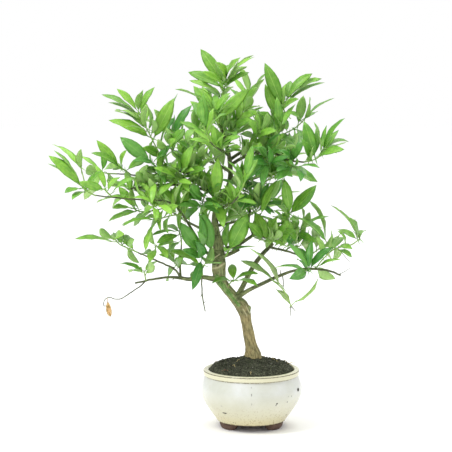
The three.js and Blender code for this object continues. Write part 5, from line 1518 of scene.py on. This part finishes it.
def makeFoot(look, turn):
    high = look["base"] + look["footSunk"]
    deselectAll()
    bpy.ops.mesh.primitive_cube_add(size=1, location=(0, 0, high / 2 * mm))
    foot = bpy.context.object
    startEditing()
    bpy.ops.transform.resize(
        value=(look["footLong"] * mm, look["footDeep"] * mm, high * mm),
        center_override=(0, 0, high / 2 * mm))
    bpy.ops.mesh.select_all(action="DESELECT")
    shape = bmesh.from_edit_mesh(foot.data)
    for edge in shape.edges:
        edge.select = abs(edge.verts[0].co.z - edge.verts[1].co.z) > high / 2 * mm
    bmesh.update_edit_mesh(foot.data)
    bpy.ops.mesh.bevel(offset=look["footCorner"] * mm, segments=3, affect="EDGES")
    selectAll()
    for share, _ in look["footSteps"][1:]:
        bpy.ops.mesh.bisect(plane_co=(0, 0, high * share * mm), plane_no=(0, 0, 1))
        selectAll()
    for share, narrow in look["footSteps"]:
        height = high * share * mm - high / 2 * mm
        pick(lambda p: abs(p.z - height) < 0.5 * mm)
        bpy.ops.transform.resize(value=(narrow, narrow, 1), center_override=(0, 0, high * share * mm))
    bpy.ops.object.mode_set(mode="OBJECT")
    applyModifier(foot, "SUBSURF", levels=2)
    foot.matrix_world = (
        Matrix.Translation(potAxis) @ Matrix.Rotation(turn, 4, "Z")
        @ Matrix.Translation((0, look["footRing"] * mm, high / 2 * mm)))
    return placed(foot)


# Glazed stoneware: a thick off-white glaze, glossy, yellow where it pools at the base, with a painted cool
# reflection on the shoulder.
# It breaks thin and brown on the edges of the lip and has crazed a little. Chips let the dark body show.
glazeLook = {
    "crazing": 7,         # mm between the lines
    "cloud": 55,
    "speck": 2.6,         # mm, coarser than the real iron specks so that they show
    "speckBelow": (55, 20),
    # off-white glaze in clouds, tinted bluish by a painted reflection, which shows on the shoulder above the
    # yellower glaze
    "coolGlazeAndReflection": ((0.35, "D6D8D5"), (0.5, "CED0C8"), (0.65, "C7C9BE")),
    # heights in mm from which and at which the glaze is yellower, how much, and its colour: low on the bowl,
    # pooled at its base, and on the lip
    "warm": ((74, 20, 1, "D6D1B2"), (30, 12.5, 0.7, "D4CA9E"), (91.5, 95, 0.85, "D8D4B2")),
    # dark lines where it runs off an edge: height and half width in mm, how dark, how broken, colour, and
    # whether only the outside has it
    "lines": (
        (93.4, 0.8, 0.85, 0.36, "6E5F38", False), (101.6, 0.6, 0.9, 0.2, "4A4230", True),
        (12.8, 0.9, 0.8, 0.4, "5A4A2C", False)),
    "wobble": 0.7,        # mm that the lines stray
    "outside": (81.5, 82.5),
    "chipStray": 0.8,     # mm that a chip's edge strays
    # where the glaze is chipped, as steps across and down in the front view, then the chip's radius in mm,
    # how much taller it is than it is wide, and how dark
    "chips": (
        (298.3, 389.7, 5.0, 0.7, 1.0), (277.1, 403.9, 1.9, 1.0, 1.0), (275.9, 405.3, 1.4, 1.0, 0.8),
        (287.4, 402.2, 1.6, 0.8, 0.9), (291.6, 396.2, 1.2, 1.2, 0.55), (288.5, 396.6, 1.1, 1.0, 0.45),
        (221.2, 406.2, 2.2, 0.5, 0.45), (224.4, 413.2, 5.6, 0.24, 1.0), (286.2, 415, 2.4, 0.8, 0.85),
        (284.4, 421.2, 3.2, 0.5, 0.9), (263, 413, 1.0, 1.0, 0.4), (256.4, 417.5, 1.0, 1.0, 0.4),
        (251.6, 395, 0.9, 3.6, 0.6), (251.3, 388, 0.8, 4, 0.45), (251.6, 404, 0.8, 9, 0.4),
        (242.7, 422.8, 1.2, 1.0, 0.7), (233.5, 422.5, 1.4, 0.8, 0.7)),
}


def onPot(across, down):
    outline = potOutline(potLook)
    spot = behind(across, down, -potLook["bulgeRadius"])
    for _ in range(8):
        outer = [(r, z) for r, z in outline if r > potLook["neckRadius"] - 24]
        radius = min(outer, key=lambda rz: abs(rz[1] - spot[2]))[0]
        spot = behind(across, down, -math.sqrt(max(1, radius ** 2 - spot[0] ** 2)))
    return inScene(spot)


# How dark a spot makes a place: in full inside its radius, not at all beyond it. It may be taller than wide.
def nearSpot(tree, place, spot, radius, tall, dark):
    offset = addNode(tree, "VectorMath", {"operation": "SUBTRACT", 1: spot}, {0: place})
    scaled = addNode(tree, "VectorMath", {"operation": "MULTIPLY", 1: (1, 1, 1 / tall)}, {0: offset})
    gone = addNode(tree, "VectorMath", {"operation": "LENGTH"}, {0: scaled}, "Value")
    return addNode(tree, "MapRange", {1: radius * mm * 1.1, 2: radius * mm * 0.7, 4: dark}, {0: gone})


def glazeMaterial():
    look = glazeLook
    material, tree = newMaterial("creamStonewareGlaze", {
        "IOR": 1.5, "Specular IOR Level": 0.4, "Coat Weight": 0.08, "Coat Roughness": 0.1})
    place = addNode(tree, "TexCoord", out="Object")
    height = addNode(tree, "SeparateXYZ", links={0: place}, out=2)
    clouds = addNode(tree, "TexNoise", {"Scale": 1 / (look["cloud"] * mm), "Detail": 4.0}, {0: place}, "Fac")
    fine = addNode(tree, "TexNoise", {"Scale": 1 / (3 * mm), "Detail": 3.0}, {0: place}, "Fac")
    # the off-white glaze with its painted bluish reflection; the yellower glaze below and on the lip covers
    # it
    glazed = addNode(tree, "ValToRGB", {"stops": look["coolGlazeAndReflection"]}, {0: clouds})
    for start, end, full, code in look["warm"]:
        share = addNode(tree, "MapRange", {1: start * mm, 2: end * mm, 4: full}, {0: height})
        glazed = addNode(tree, "Mix", {"data_type": "RGBA", 7: colour(code)}, {0: share, 6: glazed}, 2)

    # the dark lines
    wobble = addNode(tree, "MapRange", {3: -look["wobble"] * mm, 4: look["wobble"] * mm}, {0: fine})
    moved = addNode(tree, "Math", {"operation": "ADD"}, {0: height, 1: wobble})
    fromAxis = addNode(tree, "VectorMath", {"operation": "SUBTRACT", 1: potAxis}, {0: place})
    flatOffset = addNode(tree, "VectorMath", {"operation": "MULTIPLY", 1: (1, 1, 0)}, {0: fromAxis})
    radial = addNode(tree, "VectorMath", {"operation": "LENGTH"}, {0: flatOffset}, "Value")
    near, far = look["outside"]
    outside = addNode(tree, "MapRange", {1: near * mm, 2: far * mm}, {0: radial})
    for level, width, strength, thin, code, outer in look["lines"]:
        gone = addNode(tree, "Math", {"operation": "SUBTRACT", 1: level * mm}, {0: moved})
        flat = addNode(tree, "Math", {"operation": "ABSOLUTE"}, {0: gone})
        line = addNode(tree, "MapRange", {1: width * mm * 1.6, 2: width * mm * 0.5, 4: strength}, {0: flat})
        broken = addNode(tree, "MapRange", {1: thin, 2: thin + 0.14}, {0: fine})
        share = addNode(tree, "Math", {"operation": "MULTIPLY"}, {0: line, 1: broken})
        if outer:
            share = addNode(tree, "Math", {"operation": "MULTIPLY"}, {0: share, 1: outside})
        glazed = addNode(tree, "Mix", {"data_type": "RGBA", 7: colour(code)}, {0: share, 6: glazed}, 2)

    # crazing, and the iron specks of the clay body, which come through low down, where the glaze is thin
    cells = addNode(tree, "TexVoronoi", {
        "feature": "DISTANCE_TO_EDGE", "Scale": 1 / (look["crazing"] * mm)}, {0: place}, "Distance")
    crazed = addNode(tree, "MapRange", {1: 0.03, 2: 0.0, 4: 0.15}, {0: cells})
    dots = addNode(tree, "TexNoise", {"Scale": 1 / (look["speck"] * mm), "Detail": 1.0}, {0: place}, "Fac")
    specks = addNode(tree, "MapRange", {1: 0.62, 2: 0.7, 4: 0.7}, {0: dots})
    high, low = look["speckBelow"]
    thin = addNode(tree, "MapRange", {1: high * mm, 2: low * mm}, {0: height})
    speckled = addNode(tree, "Math", {"operation": "MULTIPLY"}, {0: specks, 1: thin})
    unrest = addNode(tree, "TexNoise", {"Scale": 1 / (2 * mm)}, {0: place}, "Color")
    stray = look["chipStray"] * mm
    shaken = addNode(tree, "VectorMath", {
        "operation": "MULTIPLY_ADD", 1: (2 * stray,) * 3, 2: (-stray,) * 3}, {0: unrest})
    shifted = addNode(tree, "VectorMath", {"operation": "ADD"}, {0: place, 1: shaken})
    chipped = None
    for across, down, *shape in look["chips"]:
        chip = nearSpot(tree, shifted, onPot(across, down), *shape)
        if chipped:
            chip = addNode(tree, "Math", {"operation": "MAXIMUM"}, {0: chipped, 1: chip})
        chipped = chip
    for share, code in ((crazed, "B9AE8C"), (speckled, "8C7038"), (chipped, "2E2A20")):
        glazed = addNode(tree, "Mix", {"data_type": "RGBA", 7: colour(code)}, {0: share, 6: glazed}, 2)

    gloss = addNode(tree, "MapRange", {3: 0.12, 4: 0.3}, {0: clouds})
    rough = addNode(tree, "Math", {"operation": "MULTIPLY_ADD", 1: 0.6, "use_clamp": True}, {
        0: chipped, 2: gloss})
    ripple = addNode(tree, "Math", {"operation": "MULTIPLY_ADD", 1: -1.0}, {0: chipped, 2: clouds})
    finishSurface(tree, glazed, rough, ripple, 0.5, 0.9)
    return material


# Bare stoneware clay: matt, brown and clouded, with dark grog grains.
clayFinish = {
    "noises": {"grog": (1.6, 4.0, 0.5), "clouds": (11, 3.0, 0.5)},
    "tint": ("clouds", ((0.3, "54423A"), (0.55, "665247"), (0.75, "7A6658"))),
    "blots": ("grog", 0.6, 0.68, 0.55, "3E2C24"),
    "rough": ("grog", 0.7, 0.95),
    "relief": ("grog", 0.6, 0.4),
}


def makePot():
    look = potLook
    outline = potOutline(look)
    pot = startRing(*outline[0], look["sides"])
    drawUp([*outline, outline[0]])
    selectAll()
    bpy.ops.mesh.remove_doubles(threshold=look["weld"] * mm)
    bpy.ops.mesh.normals_make_consistent(inside=False)
    bpy.ops.object.mode_set(mode="OBJECT")
    feet = [makeFoot(look, 2 * math.pi * i / look["feet"]) for i in range(look["feet"])]
    for piece in (pot, *feet):
        piece.data.materials.append(glaze)
        piece.data.materials.append(clay)
        bareBelow = look["base"] + look["bareBowl" if piece is pot else "bareFoot"]
        for face in piece.data.polygons:
            face.material_index = 1 if face.center.z < bareBelow * mm else 0
    pot = joined("glazedPot", [pot, *feet])
    bpy.ops.object.shade_smooth_by_angle(angle=math.radians(look["smoothBelow"]))
    print("pot:", len(pot.data.polygons), "faces")
    return pot


glaze = glazeMaterial()
clay = plainMaterial("bareStonewareClay", {"IOR": 1.45, "Specular IOR Level": 0.3}, clayFinish)
glazedPot = makePot()
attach(glazedPot, "root")
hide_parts("pot")


# Soil: dark damp potting soil, domed up to the trunk, with loose crumbs, straws and white grains on top.
soilLook = {
    "sides": 96, "level": 100.9, "dome": 13, "domeRadius": 76, "fall": 8, "mound": 26, "moundWidth": 17,
    "wall": 74.2, "ring": 3,
    "below": ((19.35, 22.9), (19.36, 21.35), (51, 21.35), (61, 32.85), (80.2, 71)),
    "lump": 1.7, "lumpWide": 9, "crumb": 0.8, "crumbWide": 2.6, "wallDip": 1.2, "wallDipWide": 6,
    "crumbs": 900, "crumbSizes": (0.7, 2.2), "whiteShare": 0.008, "crumbsInside": 3, "seed": 31, "rough": 3,
    # straws: their radius at the foot and how much thinner their tip is, and how they lie
    "strawWide": 0.75, "strawTaper": 0.35, "strawLift": 0.9, "strawArch": 1.6, "strawSway": 1.2,
    "strawDeep": 9, "strawSteps": 8,
    # straws and roots on top: two ends in the front view
    "straws": (
        (269, 355.5, 276, 358.5), (274, 357.5, 281, 363.5), (276.5, 361, 278, 364.5),
        (287, 363.8, 293.5, 367.2), (290.5, 364, 294.5, 362.8), (262, 355.2, 271, 357),
        (250.2, 372.8, 250.6, 375.4), (232, 366, 236, 368.5), (264, 357, 260, 360), (271, 359, 275, 362),
        (215, 361, 221, 360), (240, 360, 236, 362), (284, 361, 289, 361)),
    # a bit of red bark: where it lies in the front view, and its length in mm
    "redBits": ((224.8, 370.3, 3.2), (222.6, 371.2, 2), (227.5, 370.8, 1.8)),
}
soilFinish = {
    "noises": {"crumbs": (2.2, 6.0, 0.7), "clods": (12, 3.0, 0.5)},
    "tint": ("crumbs", ((0.32, "1A1B15"), (0.48, "3C3F33"), (0.6, "666756"), (0.72, "969380"))),
    "blots": ("clods", 0.42, 0.62, 0.5, "24271C"),
    "rough": ("crumbs", 0.75, 1.0),
    "relief": ("crumbs", 1.0, 1.2),
}


# Straw, perlite and red bark bits: plain matt bits, each with a little mottling
def bitMaterial(name, light, deep, size, rough):
    return plainMaterial(name, {"IOR": 1.4}, {
        "noises": {"spots": (size, 3.0, 0.5)}, "tint": ("spots", ((0.35, deep), (0.65, light))),
        "rough": ("spots", rough - 0.1, rough + 0.1), "relief": ("spots", 0.5, 0.3)})


def soilTop(x, y):
    look = soilLook
    radius = math.hypot(x, y)
    fade = max(0, min(1, (look["wall"] - radius) / look["wallDipWide"]))
    lump = noise.noise(Vector((x, y, 0)) / look["lumpWide"]) * look["lump"]
    crumb = noise.noise(Vector((x, y, 40)) / look["crumbWide"]) * look["crumb"]
    dome = look["dome"] * (1 - min(1, radius / look["domeRadius"]) ** look["fall"])
    mound = look["mound"] * math.exp(-radius / look["moundWidth"])
    return look["level"] - look["wallDip"] * (1 - fade) + dome + mound + (lump + crumb) * fade


def makeSoil():
    look = soilLook
    rings = math.floor(look["wall"] / look["ring"])
    top = [(look["wall"] * (1 - i / rings), look["level"]) for i in range(rings)]
    outline = [*look["below"], *top]
    bed = startRing(*outline[0], look["sides"])
    drawUp(outline)
    bpy.ops.mesh.edge_face_add()
    hole, floor = look["below"][0]
    pick(lambda p: abs(p.z - floor * mm) < 0.1 * mm and (p - potAxis).xy.length < (hole + 0.05) * mm)
    bpy.ops.mesh.edge_face_add()
    selectAll()
    bpy.ops.mesh.normals_make_consistent(inside=False)
    bpy.ops.object.mode_set(mode="OBJECT")
    for corner in bed.data.vertices:
        if corner.co.z > (look["level"] - 0.5) * mm:
            x, y = (corner.co.x - potAxis.x) / mm, (corner.co.y - potAxis.y) / mm
            corner.co.z = soilTop(x, y) * mm
    bed.data.materials.append(soilBody)
    bpy.ops.object.shade_smooth()
    return bed


# Crumbs, white grains and red bits are one rough ball of 20 faces, turned and flattened each in its own way.
def makeCrumbs():
    look = soilLook
    chance = random.Random(look["seed"])
    deselectAll()
    bpy.ops.mesh.primitive_ico_sphere_add(subdivisions=1, radius=1)
    master = bpy.context.object
    startEditing()
    bpy.ops.transform.vertex_random(offset=0.25, seed=look["rough"])
    bpy.ops.object.mode_set(mode="OBJECT")
    made = []
    for i in range(look["crumbs"]):
        radius = (look["wall"] - look["crumbsInside"]) * math.sqrt(chance.random())
        angle = chance.uniform(0, 2 * math.pi)
        x, y = radius * math.cos(angle), radius * math.sin(angle)
        low, high = look["crumbSizes"]
        size = low + (high - low) * chance.random() ** 2
        spin = chance.uniform(0, 6.3)
        turn = Matrix.Rotation(spin, 4, Vector((chance.random(), chance.random(), 0.3)).normalized())
        flat = Matrix.Diagonal((1, chance.uniform(0.6, 1), chance.uniform(0.5, 0.8), 1)) @ Matrix.Diagonal(
            (size * mm, size * mm, size * mm, 1))
        crumb = copyOf(master, Matrix.Translation(inScene((x, y, soilTop(x, y) + size * 0.2))) @ turn @ flat)
        crumb.data.materials.append(perlite if chance.random() < look["whiteShare"] else soilBody)
        made.append(crumb)
    for across, down, long in look["redBits"]:
        x, y = onSoil(across, down)
        flat = Matrix.Diagonal((long / 2 * mm, long / 3 * mm, 0.8 * mm, 1))
        bit = copyOf(master, Matrix.Translation(inScene((x, y, soilTop(x, y) + 0.6))) @ flat)
        bit.data.materials.append(redBark)
        made.append(bit)
    remove(master)
    return made


# The place on the soil that the front view shows at a spot: the line of sight is followed until it meets it.
def onSoil(across, down):
    y = -soilLook["wall"]
    spot = behind(across, down, y)
    while y < soilLook["wall"] and spot[2] > soilTop(spot[0], spot[1]):
        y += 0.5
        spot = behind(across, down, y)
    return spot[0], spot[1]


def makeStraws():
    look = soilLook
    made = []
    for number, (across, down, endAcross, endDown) in enumerate(look["straws"]):
        start, end = onSoil(across, down), onSoil(endAcross, endDown)
        deep = max(-look["strawDeep"], min(look["strawDeep"], end[1] - start[1]))
        end = (end[0], start[1] + deep)
        points, radii = [], []
        for i in range(look["strawSteps"] + 1):
            s = i / look["strawSteps"]
            x = start[0] + (end[0] - start[0]) * s + look["strawSway"] * math.sin(s * 4 + number)
            y = start[1] + (end[1] - start[1]) * s
            z = soilTop(x, y) + look["strawLift"] + look["strawArch"] * math.sin(math.pi * s)
            points.append((x, y, z))
            radii.append(look["strawWide"] - look["strawTaper"] * s)
        twig = makeLimb("straw", points, radii)
        twig.data.materials.append(straw)
        made.append(twig)
    return made


soilBody = plainMaterial("dampPottingSoil", {"IOR": 1.35, "Specular IOR Level": 0.25}, soilFinish)
perlite = bitMaterial("whitePerlite", "F2F0EA", "D4D0C6", 1.2, 0.8)
straw = bitMaterial("dryStraw", "C8B888", "8E7C52", 3, 0.7)
redBark = bitMaterial("redBarkBit", "A0624A", "704434", 1.5, 0.8)
soilBed = joined("soilBed", [makeSoil(), *makeCrumbs(), *makeStraws()])
placed(soilBed)
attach(soilBed, "root")
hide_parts("soil")
print("soil:", len(soilBed.data.polygons), "faces")


# Dried leaf: a dead leaf, rolled up lengthwise, papery and straw brown. It hangs from the curled twig.
driedLook = {
    "base": (107.4, 299.6, -37.4), "tip": (110.3, 317, -34), "width": 15, "roll": 0.3, "curl": 0.9,
}
driedFinish = {
    "noises": {"clouds": (4, 4.0, 0.5), "wrinkles": (1.2, 2.0, 0.5)},
    "tint": ("clouds", ((0.32, "A8874E"), (0.48, "D6B57C"), (0.66, "E6CB9C"))),
    "rough": ("clouds", 0.55, 0.8),
    "relief": ("wrinkles", 0.7, 0.5),
}


def makeDriedLeaf():
    look = driedLook
    blade = Blade(inDepth(look["base"]), inDepth(look["tip"]), toViewer, look["width"])
    piece = copyOf(leafMasters[0], Matrix.Identity(4))
    # both halves roll up towards the front
    for corner in piece.data.vertices:
        x = corner.co.x
        corner.co.x = x * (1 - look["roll"] * abs(x) * 2)
        corner.co.z += look["curl"] * x * x
    piece.matrix_world = leafMatrix(blade)
    placed(piece)
    piece.name = piece.data.name = "driedLeaf"
    piece.data.materials.append(dried)
    for face in piece.data.polygons:
        face.material_index = 0
    return piece


dried = plainMaterial(
    "driedCitrusLeaf", {"IOR": 1.4, "Subsurface Weight": 0.1, "Subsurface Scale": 0.001}, driedFinish)
driedLeaf = makeDriedLeaf()
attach(driedLeaf, "root")
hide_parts("dried_leaf")
for master in leafMasters:
    remove(master)


# Drain screen: a cut of black polyethylene net, moulded, matt. The solid stays and gets the finish.
netFinish = {
    "noises": {"grime": (3, 3.0, 0.5)},
    "tint": ("grime", ((0.4, "26282A"), (0.7, "4A443B"))),
    "rough": ("grime", 0.45, 0.7),
    "relief": ("grime", 0.3, 0.2),
}
net = plainMaterial("polyethyleneNet", {"IOR": 1.5}, netFinish)
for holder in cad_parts["drain_screen"].material_slots:
    holder.material = net
print("dried leaf and drain screen done")


# Studio: a white floor and even white light, a soft box at the front left and a wider one above the plant
studio = {
    "floor": 12,
    "world": 1.0,
    # place in m from the pot's axis, side in m, watts
    "lamps": (((-1.9, -1.3, 3.2), 1.0, 62), ((0.5, 0.6, 3.0), 1.6, 26)),
    "aimAt": (0, 0, 0.38),
    "lens": 182.05, "sensor": 36, "seesUpTo": 40,
}


def makeStudio():
    deselectAll()
    bpy.ops.mesh.primitive_plane_add(size=studio["floor"], location=(0, 0, 0))
    floor = bpy.context.object
    floor.name = "studioFloor"
    material, _ = newMaterial("whitePaperSweep", {"Base Color": (0.98, 0.98, 0.98, 1), "Roughness": 0.95})
    floor.data.materials.append(material)
    world = bpy.data.worlds.new("studioLight")
    world.use_nodes = True
    background = world.node_tree.nodes["Background"]
    background.inputs["Color"].default_value = (1, 1, 1, 1)
    background.inputs["Strength"].default_value = studio["world"]
    bpy.context.scene.world = world
    for spot, side, power in studio["lamps"]:
        bpy.ops.object.light_add(type="AREA", location=potAxis + Vector(spot))
        lamp = bpy.context.object
        lamp.data.size = side
        lamp.data.energy = power
        aim = potAxis + Vector(studio["aimAt"]) - lamp.location
        lamp.rotation_euler = aim.to_track_quat("-Z", "Y").to_euler()


def makeCamera():
    back, tilt = view["distance"] * mm, view["tilt"]
    middle = inScene((view["aimX"], 0, view["aimZ"]))
    bpy.ops.object.camera_add(
        location=middle + Vector((0, -back * math.cos(tilt), back * math.sin(tilt))),
        rotation=(math.pi / 2 - tilt, 0, 0))
    camera = bpy.context.object
    camera.data.lens = studio["lens"]
    camera.data.sensor_width = studio["sensor"]
    camera.data.clip_end = studio["seesUpTo"]
    bpy.context.scene.camera = camera


makeStudio()
makeCamera()
bpy.context.scene.view_settings.view_transform = "Standard"
print("studio set")
